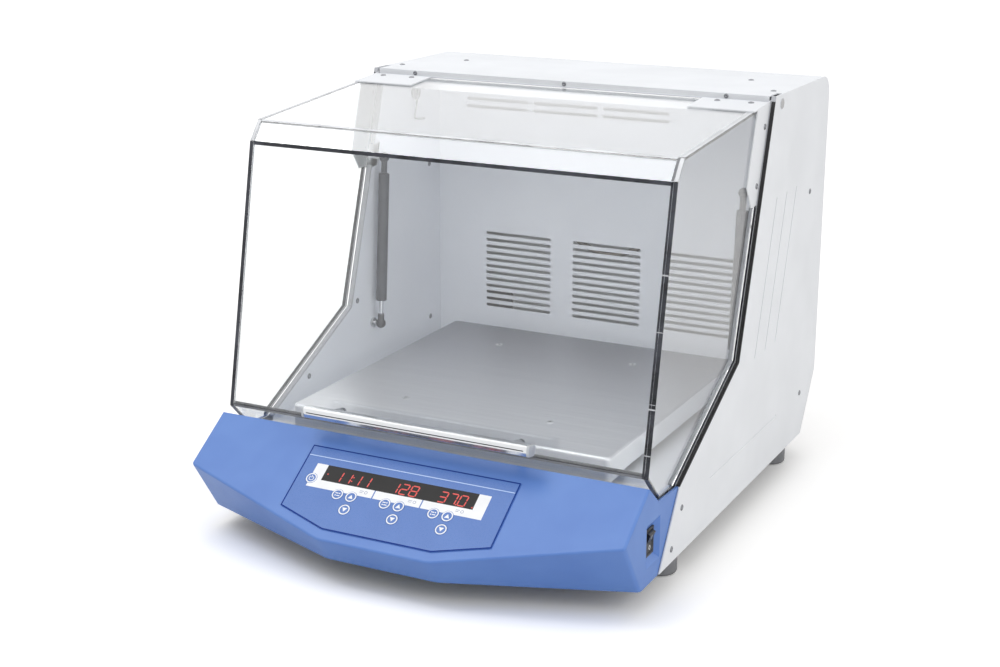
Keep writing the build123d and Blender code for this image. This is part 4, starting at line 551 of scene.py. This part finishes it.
def inner_corner(before, corner, after):
    """The corner where both neighbouring sides, moved in by the sheet, meet."""
    outline = np.array([before, corner, after], float)
    sides = np.diff(outline, axis=0)
    sides /= np.linalg.norm(sides, axis=1, keepdims=True)
    right_hand = np.stack([sides[:, 1], -sides[:, 0]], axis=1)
    return outline[1] + sheet * right_hand.sum(axis=0) / (1 + right_hand[0] @ right_hand[1])


beyond = (2 * back[0] - crown[0], 2 * back[1] - crown[1])
inner_low = inner_corner(rim_front, low, brow)
inner_brow = inner_corner(low, brow, crown)
inner_crown = inner_corner(brow, crown, back)
inner_back = inner_corner(crown, back, beyond)


def pane(outline, x0, x1):
    """A sheet: its (y, z) outline at x0, widened over the bevel, carried to x1, narrowed again."""
    places = [x0 + joint, x0 + joint + bevel, x1 - joint - bevel, x1 - joint]
    shrink = [joint + bevel, joint, joint, joint + bevel]
    return lay(anticlockwise(outline), places, shrink, (0, 0, 0), (0, 1, 0), (0, 0, 1))


inside = hood_half - sheet
rim_inner = (rim_front[0] + sheet * np.sqrt(2), rim_front[1])
side_outline = [rim_back, rim_front, low, brow, crown, back, bend]
hood_panes = {
    "hood_top_plate": pane([crown, back, inner_back, inner_crown], -inside, inside),
    "hood_upper_chamfer": pane([brow, crown, inner_crown, inner_brow], -inside, inside),
    "hood_front_plate": pane([low, brow, inner_brow, inner_low], -inside, inside),
    "hood_lower_chamfer": pane([rim_front, low, inner_low, rim_inner], -inside, inside),
    "hood_right_plate": pane(side_outline, inside, hood_half),
    "hood_left_plate": pane(side_outline, -hood_half, -inside),
}
for name, grid in hood_panes.items():
    polished = build(name.replace("hood", "polished"), [grid], acrylic, "hood")
    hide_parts(name)

# %% [markdown]
# ## Light in the edges
# Light that enters an acrylic sheet is mirrored along inside it and leaves at the edges,
# so a cut edge looks dark where it looks back into the sheet and pale where it catches
# a lamp. Tracing that needs many bounces and stays noisy. Here each edge that shows gets
# a hair-thin band in the 0.1 mm air gap outside it, in the tones the photograph has
# there, with patches along it because the light in a real edge comes and goes. A
# cemented joint shows as two lines: a cover in the gap over the neighbour's thickness,
# and a line on the inner side of the sheet, which part when the view turns. Beside the
# right plate the long sheets also show its inner face mirrored, as a wider strip, and
# short glints cross that strip where a lamp is caught.

# %% Bands on edges and joints
# Painted light and shade of the edges: a dark, a grey and a pale tone.
edge_dark = pigment("painted_shade_dark", "#1C1D22", "#44464E", 0.3, 34, 4, 0.004,
                    Specular_IOR_Level=0.3)
edge_grey = pigment("painted_shade_grey", "#66686C", "#808286", 0.3, 30, 4, 0.004,
                    Specular_IOR_Level=0.3)
edge_pale = pigment("painted_light_pale", "#B4B6BA", "#D2D4D8", 0.14, 30, 4, 0.004)
# Heights of a band, from 0 at the CAD's outer face: in the gap, on a band in the gap, and
# on the inner side of the sheet.
over_gap, on_band = (-0.09, -0.01), (-0.005, 0.0)
under_sheet = (-sheet - 0.15, -sheet - 0.05)


def band(start, stop, x0, x1, heights=over_gap, first=0.6, last=0.6):
    """A strip over the line start to stop in (y, z), x0 to x1 wide; first and last stay bare."""
    run = np.subtract(stop, start)
    length = np.hypot(*run)
    outline = rectangle(x0, x1, first, length - last)
    return lay(outline, heights, [0, 0], (0, *start), (1, 0, 0), (0, *(run / length)))


def both_edges(start, stop):
    """The band over one side of both side sheets."""
    return [band(start, stop, -hood_half + joint, -inside - joint),
            band(start, stop, inside + joint, hood_half - joint)]


across_sheet = (-inside + 0.4, inside - 0.4)
front_length = np.hypot(brow[0] - low[0], brow[1] - low[1])
chamfer_length = np.hypot(crown[0] - brow[0], crown[1] - brow[1])
front_strip, upper_strip = (inside - 3.0, inside - 0.2), (inside - 3.5, inside - 0.2)
wide_edge = band(low, brow, *front_strip)
wide_top = band(crown, back, *upper_strip)
wide_corner = band(brow, crown, *upper_strip)
# Each glint: how far up the sheet it starts, and its height.
glint_places = ((26, 1.2), (78, 1.6), (84, 0.6), (165, 0.8), (228, 1.8))
glints = [band(low, brow, front_strip[0], hood_half - joint, on_band, at, front_length - at - high)
          for at, high in glint_places]
# Painted light and shade along a joint: the last two numbers are the bare lengths before and after
# the line.
brow_line = band(low, brow, *across_sheet, over_gap, front_length - 4.6, 0.1)
foot_line = band(low, brow, *across_sheet, under_sheet, 2.7, front_length - 6.2)
foot_cover = band(low, brow, *across_sheet, over_gap, 0.1, front_length - 2.9)
crown_cover = band(brow, crown, *across_sheet, over_gap, chamfer_length - 2.6, 0.1)
crown_line = band(brow, crown, *across_sheet, under_sheet, chamfer_length - 3.6, 2.2)
dark_bands = both_edges(low, brow) + [brow_line, wide_edge]
grey_bands = both_edges(rim_front, low) + [foot_line, foot_cover, wide_corner]
pale_bands = both_edges(brow, crown) + both_edges(crown, back)
pale_bands += [crown_cover, crown_line, wide_top] + glints
build("edge_bands_dark", dark_bands, edge_dark, "hood")
build("edge_bands_grey", grey_bands, edge_grey, "hood")
build("edge_bands_pale", pale_bands, edge_pale, "hood")

# %% [markdown]
# ## Handle bar
# The handle is an extruded aluminium profile, polished and anodised. Its front has an
# upper face that mirrors the white room, a narrow groove, and a lower face that leans
# back and mirrors the blue housing below. Those three stripes are what the eye reads as
# a shaped bar, so the profile is drawn point by point and carried along x. A dark strip
# of painted shade lies in the groove's mouth, because so narrow a shade doesn't show by itself.

# %% Handle bar
handle_rise, handle_gap, handle_depth = 15.5, 22.0, 18.0   # height, distance off the pane, depth
bar_half = 149.0
groove_half, groove_low, groove_high = 145, -0.75, 0.45
groove_out = 8.97             # from the bar's middle, just inside the front face
pane_up = np.subtract(brow, low) / front_length
pane_out = np.array([-pane_up[1], pane_up[0]])
foot_point = np.array(low) + pane_up * handle_rise / pane_up[1]
bar_middle = foot_point + pane_out * (handle_gap + handle_depth / 2)
profile = np.array([          # (out, up) from the bar's middle
    (-9.0, -4.2), (-8.4, -6.0), (-6.8, -6.75), (4.8, -6.75), (6.3, -6.1),
    (8.8, -2.4), (8.0, -2.2), (8.0, -1.0), (9.0, -0.8), (9.0, 4.6),
    (8.3, 6.2), (6.6, 6.75), (-6.8, 6.75), (-8.4, 6.0), (-9.0, 4.2),
])
bar = lay(profile, [-bar_half, bar_half], [0, 0], (0, *bar_middle), (0, *pane_out), (0, *pane_up))
polished_bar = build("polished_handle_bar", [bar], handle_metal, "hood")
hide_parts("handle_bar")
# Painted shade: a dark strip in the mouth of the groove.
groove = lay(rectangle(-groove_half, groove_half, groove_low, groove_high), [0, 0.08], [0, 0],
             (0, *(bar_middle + groove_out * pane_out)), (1, 0, 0), (0, *pane_up))
build("handle_groove_painted_shade", [groove], edge_dark, "hood")

# %% [markdown]
# ## Screw heads
# All screws are button heads with a hexagon socket. One head is a round profile turned
# about its axis: up the rim, over the dome, down into the socket. Rings of 24 places
# follow that profile; the socket's rings have six corners, which a radius of
# r cos(30) / cos(a - 60 round(a / 60)) draws with the same 24 places. The cabinet's
# heads stand in for the CAD's plain ones; those of the hood's brackets ride on the hood.

# %% Screw heads
head_angles = np.linspace(0, 2 * np.pi, 24, endpoint=False)
hexagon = np.cos(np.pi / 6) / np.cos(head_angles - np.round(head_angles / (np.pi / 3)) * np.pi / 3)


def screw_head(place, out, radius=3.8, height=1.2):
    """Rings of a button head at place, its axis along out: radius and height run over the dome."""
    out = np.asarray(out, float)
    side = np.cross(out, (0.0, 0.6, 0.8))
    side /= np.linalg.norm(side)
    along = np.cross(out, side)
    dome = [(1.0, -1.0, 0), (1.0, 0.3, 0), (0.93, 0.65, 0), (0.76, 0.9, 0), (0.6, 1.0, 0),
            (0.5, 0.96, 1), (0.46, 0.1, 1)]     # share of radius, share of height, in the socket
    rings = []
    for share, rise, socket in dome:
        r = radius * share * (hexagon if socket else np.ones(24))
        rings.append(np.asarray(place, float) + np.outer(r * np.cos(head_angles), side)
                     + np.outer(r * np.sin(head_angles), along) + height * rise * out)
    return np.stack(rings)


panel_face, wall_face, roof_face = 290.0, 272.0, 532.0                      # x, x, z
panel_screws = ((303.0, 381.7), (303.0, 95.0), (-153.0, 89.0), (-183.0, 48.0))     # (y, z)
wall_screws = ((49.5, 219.0), (256.5, 145.0), (256.5, 378.0), (-76.0, 145.0))      # (y, z)
roof_screws = ((214.0, 263.0), (272.0, 180.0))                                     # (x, y)
lip_screws, lip_face, lip_middle, lip_radius = (-225.0, 0.0, 225.0), 134.17, 528.5, 3.04
heads = []
for x_sign in (-1, 1):
    for y, z in panel_screws:
        heads.append(screw_head((x_sign * panel_face, y, z), (x_sign, 0, 0)))
    for y, z in wall_screws:
        heads.append(screw_head((x_sign * wall_face, y, z), (-x_sign, 0, 0)))
    for x, y in roof_screws:
        heads.append(screw_head((x_sign * x, y, roof_face), (0, 0, 1)))
for x in lip_screws:
    heads.append(screw_head((x, lip_face, lip_middle), (0, -1, 0), lip_radius))
cabinet_heads = build("button_heads", heads, screw_zinc, "cabinet", True)
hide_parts("cabinet_screws")

top_rise = np.arctan2(back[1] - crown[1], back[0] - crown[0])
bracket_sheet = 1.5
bracket_side = 284.0                                    # x
top_screws, top_screw_y = (220.0, 264.5, -220.0, -264.5), 114.99
side_screws = ((113.23, 497.0), (90.70, 426.0))         # (y, z)
hood_heads = []
for x in top_screws:
    plate_top = (crown[1] + (top_screw_y - crown[0]) * np.tan(top_rise)
                 + bracket_sheet / np.cos(top_rise))
    hood_heads.append(screw_head((x, top_screw_y, plate_top),
                                 (0, -np.sin(top_rise), np.cos(top_rise))))
for x_sign in (-1, 1):
    for y, z in side_screws:
        hood_heads.append(screw_head((x_sign * bracket_side, y, z), (x_sign, 0, 0)))
build("bracket_heads", hood_heads, screw_zinc, "hood", True)

# %% [markdown]
# ## Ball sockets
# A gas strut ends in a nylon socket that snaps over a ball stud. It is a body of
# revolution about the strut's axis: a sphere that runs into a short neck. The rings
# follow the polar angle over the sphere, r sin(t) wide at height -r cos(t), and then
# the neck, so one profile gives the whole sleeve.

# %% Ball sockets
strut_x = 259.0
strut_foot, strut_head = np.array([90.0, 178.0]), np.array([106.985, 412.5])   # (y, z)
strut_axis = (strut_head - strut_foot) / np.linalg.norm(strut_head - strut_foot)
ball_radius, neck_radius = 6.95, 4.5
just_off_pole = 0.06          # rad
polar = np.linspace(just_off_pole, np.pi - np.arcsin(neck_radius / ball_radius), 14)
sleeve = [(ball_radius * np.sin(t), -ball_radius * np.cos(t)) for t in polar]
sleeve += [(neck_radius, 13.4), (3.9, 14.2)]
turn = np.linspace(0, 2 * np.pi, 28, endpoint=False)
for side_name, x_sign in (("left", -1), ("right", 1)):
    rings = np.stack([
        np.stack([x_sign * strut_x + r * np.cos(turn),
                  strut_foot[0] + h * strut_axis[0] + r * np.sin(turn) * strut_axis[1],
                  strut_foot[1] + h * strut_axis[1] - r * np.sin(turn) * strut_axis[0]], axis=1)
        for r, h in sleeve
    ])
    build(f"{side_name}_ball_socket", [rings], socket_nylon, f"{side_name}_strut_rod",
          True)

# %% [markdown]
# ## Pressed lines
# Three lines are pressed into each side panel. A groove 0.6 mm deep is too shallow to
# hold a shadow at this distance, so the shadow in it is painted: a thin grey strip of
# painted shade with round ends lies in each groove, two half circles joined by straight
# sides, leaning like the opening.

# %% Pressed lines
# Painted shade for the pressed grooves: a light grey.
pressed_groove_shade = pigment("painted_shade_in_groove", "#B4B9BD", "#BFC4C8", 0.5, 40, 1.6, 0.01)
lean = np.radians(17.6)
panel_bend = (35.2, 213.0)    # (y, z) where the front edge of the panel starts to lean
line_offset, line_pitch = 64.0, 41.5
line_radius, line_half = 0.9, 102.9
line_middle = 301.0           # z
line_face = 289.42            # x, near the floor of the groove
half_turn = np.linspace(0, np.pi, 9)
round_end = line_radius * np.stack([np.cos(half_turn), np.sin(half_turn)], axis=1)
capsule = np.vstack([round_end + (0, line_half), -round_end - (0, line_half)])
first_line = panel_bend[0] + (line_middle - panel_bend[1]) * np.tan(lean) + line_offset
for side_name, x_sign in (("left", -1), ("right", 1)):
    across = (0, x_sign * np.cos(lean), -x_sign * np.sin(lean))
    up = (0, np.sin(lean), np.cos(lean))
    lines = [lay(capsule, [0, 0.08], [0, 0],
                 (x_sign * line_face, first_line + line_pitch * index, line_middle), across, up)
             for index in range(3)]
    build(f"{side_name}_pressed_line_shade", lines, pressed_groove_shade, "cabinet")

# %% [markdown]
# ## Sloping face
# All print lies on the face of the housing, so its marks are outlines on one plane: u
# runs across to the right and v up the slope, from the rear edge of the face. A mark is
# an outline carried up a tenth of a millimetre, which stands for screen print under the
# polyester foil. Flat marks as a mesh stay sharp at any distance, unlike a texture.

# %% Sloping face
toe = np.radians(34)
face_origin = (0.0, -250.718, 145.5)
face_up = (0.0, np.cos(toe), np.sin(toe))
foil_top = 1.2
print_height = 0.1
second_print = foil_top + print_height       # print that lies on print


def mark(outline, height=foil_top):
    """A printed mark: its outline on the sloping face, print_height thick from height up."""
    return lay(anticlockwise(outline), [height, height + print_height], [0, 0],
               face_origin, (1, 0, 0), face_up)


def tiles(inner, outer):
    """A closed band between two outlines of equal count, as four-cornered tiles side by side."""
    a, b = np.asarray(inner, float), np.asarray(outer, float)
    return np.stack([a, b, np.roll(b, -1, axis=0), np.roll(a, -1, axis=0)], axis=1)


def ribbon(inner, outer, height=foil_top):
    """Such a band as printed marks."""
    return [mark(tile, height) for tile in tiles(inner, outer)]


# Screen inks: opaque and even, the dark one hardly mirrors. The mesh of the screen is
# really 0.1 mm and is drawn at 0.6 mm.
print_white = pigment("screen_print_white", "#F0F1F3", "#F6F7F8", 0.4, 20, 0.6, 0.004)
print_sky = pigment("screen_print_pale_blue", "#B4CEF4", "#BED4F6", 0.4, 20, 0.6, 0.004)
print_navy = pigment("screen_print_dark_blue", "#10307C", "#143686", 0.5, 20, 0.6, 0.004,
                     Specular_IOR_Level=0.1)
print_grey = pigment("screen_print_grey", "#9CA4B8", "#A6ADC0", 0.4, 20, 0.6, 0.004)
# Display window: smoked so dark that only lit digits show.
smoked_window = pigment("smoked_display_window", "#141212", "#1C1A1A", 0.4, 40, 0.8, 0.003,
                        Specular_IOR_Level=0.25)
print("inks:", [m.name for m in (print_white, print_sky, print_navy, print_grey, smoked_window)])

# %% [markdown]
# ## Foil prints
# The foil has a dark blue outline, a pale line under its heading strip, and a white
# frame with a dark window for the digits. Under the window two dividers cut the frame
# into three fields, one for each reading, with a plain icon in each.

# %% Foil outline, line and frame
foil = np.array([(-139.5, -23.5), (139.5, -23.5), (139.5, -114.0), (72.0, -134.4),
                 (-72.0, -134.4), (-139.5, -114.0)])[::-1]
outline_in, outline_out = 1.6, 0.1           # how far its two sides lie inside the foil
outline_marks = ribbon(inset(foil, outline_in), inset(foil, outline_out))
build("foil_outline", outline_marks, print_navy, "cabinet")
heading_line = mark(rectangle(-137.6, 137.6, -38.5, -37.4))
build("foil_line", [heading_line], print_sky, "cabinet")

frame_left, frame_right, frame_low, frame_high = -121.0, 112.5, -81.5, -48.1
window_left, window_right, window_low = -105.7, 97.0, -70.3
divider_places = (-30.5, 33.0)
half_divider = 0.8
edges = [frame_left, *divider_places, frame_right]
strips = [
    rectangle(a + half_divider * (i > 0), b - half_divider * (i < 2), frame_low, window_low)
    for i, (a, b) in enumerate(zip(edges[:-1], edges[1:]))
]
strips.append(rectangle(frame_left, window_left, window_low, frame_high))
strips.append(rectangle(window_right, frame_right, window_low, frame_high))
build("display_frame", [mark(s) for s in strips], print_white, "cabinet")
window = rectangle(window_left, window_right, window_low, frame_high)
build("display_window", [mark(window)], smoked_window, "cabinet")

# %% Plain icons on the frame
icon_places = (-43.0, 22.0, 84.0)
icons = []
for u in icon_places:                        # a longer and a shorter bar, and a ring beside them
    icons += [mark(rectangle(u - 6.5, u - 1.5, -74.6, -73.9), second_print),
              mark(rectangle(u - 6.5, u - 2.5, -76.6, -75.9), second_print)]
    ring_middle = (u + 2.0, -75.6)
    icons += ribbon(circle(1.5, 16, ring_middle), circle(2.1, 16, ring_middle), second_print)
build("frame_icons", icons, print_grey, "cabinet")

# %% [markdown]
# ## Digits
# Three rows of seven-segment digits glow red behind the smoked window. A segment is a
# bar with pointed ends, 14 mm high digits have seven of them, and the whole digit leans
# by shearing u with v. The light is emission of strength 1, so that it glows without
# burning out; real diodes show as a deep red with brighter cores about 4 mm apart.

# %% Digits
glow, tree = blank("red_diode_glow")
place = add(tree, "ShaderNodeTexCoord").outputs["Object"]
core = add(tree, "ShaderNodeTexNoise", {"Vector": place, "Scale": 1 / (4 * MM), "Detail": 1.0})
tone = add(tree, "ShaderNodeValToRGB", {"Fac": core.outputs["Fac"]})
tone.color_ramp.elements[0].color = linear("#D8302C")
tone.color_ramp.elements[1].color = linear("#F25A50")
shader = add(tree, "ShaderNodeBsdfPrincipled", {
    "Base Color": linear("#30100E"), "Roughness": 0.4,
    "Emission Color": tone.outputs["Color"], "Emission Strength": 1.0,
})
add(tree, "ShaderNodeOutputMaterial", {"Surface": shader.outputs["BSDF"]})

digit_width, digit_height, digit_low = 9.0, 14.0, -68.3
digit_pitch, digit_lean = 12.85, 0.085
stroke = 1.5
segment_gap = 0.3             # each end stops that short of the corner
segments_of = {
    "0": "abcdef", "1": "bc", "2": "abged", "3": "abgcd", "7": "abc", "8": "abcdefg",
}


def segment(name):
    """One bar, by its letter: a top, g middle, d foot, f and b upper sides, e and c lower sides."""
    w, h, t = digit_width, digit_height, stroke / 2
    ends = {
        "a": ((0, h), (w, h)), "g": ((0, h / 2), (w, h / 2)), "d": ((0, 0), (w, 0)),
        "f": ((0, h / 2), (0, h)), "b": ((w, h / 2), (w, h)),
        "e": ((0, 0), (0, h / 2)), "c": ((w, 0), (w, h / 2)),
    }
    start, stop = (np.array(end, float) for end in ends[name])
    along = (stop - start) / np.linalg.norm(stop - start)
    aside = t * np.array([-along[1], along[0]])
    start, stop = start + segment_gap * along, stop - segment_gap * along
    return np.array([start, start + t * along - aside, stop - t * along - aside,
                     stop, stop - t * along + aside, start + t * along + aside])


def digit(sign, right_edge):
    """A digit's segments on the face, sheared by the lean; right_edge is its foot at the right."""
    for name in segments_of[sign]:
        p = segment(name)
        yield mark(np.stack([right_edge - digit_width + p[:, 0] + digit_lean * p[:, 1],
                             digit_low + p[:, 1]], axis=1), second_print)


readings = {-43.3: "1111", 20.7: "128", 84.7: "370"}       # by the u where the last digit ends
dots = [(-66.2, -64.2), (-65.6, -58.6), (74.2, -68.0), (-100.6, -60.5), (95.2, -67.7)]
dot_radius = 0.9
lit = [part for edge, text in readings.items() for i, sign in enumerate(reversed(text))
       for part in digit(sign, edge - i * digit_pitch)]
lit += [mark(circle(dot_radius, 12, dot), second_print) for dot in dots]
build("display_digits", lit, glow, "cabinet")

# %% [markdown]
# ## Keys
# Each key is a round cap under the foil with a white ring printed on it, and an arrow
# or a plain sign in the ring. Ring and sign ride on the key, so they go down with it.

# %% Key rings and signs
cap_top = 1.4
ring_inner, ring_outer = 5.5, 6.9
key_pitch, group_pitch = 18.4, 64.0
first_u, first_v = -75.2, -85.0
key_places = {"key_power": (-119.0, -70.0)}
for group, group_name in enumerate(("time", "speed", "temperature")):
    u = first_u + group * group_pitch
    key_places[f"key_{group_name}_mode"] = (u, first_v)
    key_places[f"key_{group_name}_up"] = (u + key_pitch, first_v)
    key_places[f"key_{group_name}_down"] = (u + key_pitch, first_v - key_pitch)


def arrow(direction):
    """A triangle 6.4 wide and 5.4 high that points up (1) or down (-1)."""
    return direction * np.array([(-3.2, -2.5), (3.2, -2.5), (0.0, 2.9)])


def power_sign():
    """A ring open at the top with a bar in the opening, the usual sign for on and off."""
    a = np.linspace(np.radians(125), np.radians(415), 25)
    outer = 3.4 * np.stack([np.cos(a), np.sin(a)], axis=1)
    inner = 2.5 * np.stack([np.cos(a), np.sin(a)], axis=1)
    arc = np.stack([inner[:-1], inner[1:], outer[1:], outer[:-1]], axis=1)
    return [*arc, rectangle(-0.45, 0.45, 0.4, 4.0)]


def dial_sign():
    """Two short bars, each with a dot at its end: a plain sign for choose."""
    return [rectangle(-3.4, 0.8, 1.0, 2.2), rectangle(-0.8, 3.4, -2.2, -1.0),
            circle(0.9, 10, (2.4, 1.6)), circle(0.9, 10, (-2.4, -1.6))]


for name, middle in key_places.items():
    middle = np.array(middle)
    rings = ribbon(circle(ring_inner, 40) + middle, circle(ring_outer, 40) + middle, cap_top)
    if name.endswith("up"):
        signs = [arrow(1)]
    elif name.endswith("down"):
        signs = [arrow(-1)]
    elif name.endswith("power"):
        signs = power_sign()
    else:
        signs = dial_sign()
    rings += [mark(sign + middle, cap_top) for sign in signs]
    build(name.replace("key", "ring"), rings, print_white, f"{name}_cap")

# %% [markdown]
# ## Switch marks
# The rocker has the usual moulded signs, a bar for on and a ring for off, filled with
# white. Its two faces slope away from the middle, so each sign has its own plane, found
# from the rocker's section: 3.6 mm high in the middle, 6.2 mm at the ends, tipped 10
# degrees. The signs ride on the rocker.

# %% Switch marks
tip = np.radians(10)
pivot_x, pivot_y, pivot_z = 280.0, -236.0, 77.0
end_rise, half_length = 2.6, 13.0            # from 3.6 in the middle to 6.2 at an end
sign_height = 4.9 + 0.02                     # half way along a face, and just above it
sign_place = 6.5
on_bar = [rectangle(-0.5, 0.5, -2.4, 2.4)]
off_ring = tiles(circle(1.7, 20), circle(2.5, 20))
rocker_signs = []
for end, outlines in ((1, on_bar), (-1, off_ring)):
    slope = np.arctan2(end_rise * end, half_length)
    direction = (np.sin(slope + tip), 0, np.cos(slope + tip))
    up = sign_place * end
    origin = (pivot_x + sign_height * np.cos(tip) + up * np.sin(tip), pivot_y,
              pivot_z - sign_height * np.sin(tip) + up * np.cos(tip))
    rocker_signs += [lay(anticlockwise(outline), [0, 0.12], [0, 0], origin, (0, 1, 0), direction)
                     for outline in outlines]
build("rocker_signs", rocker_signs, print_white, "rocker")
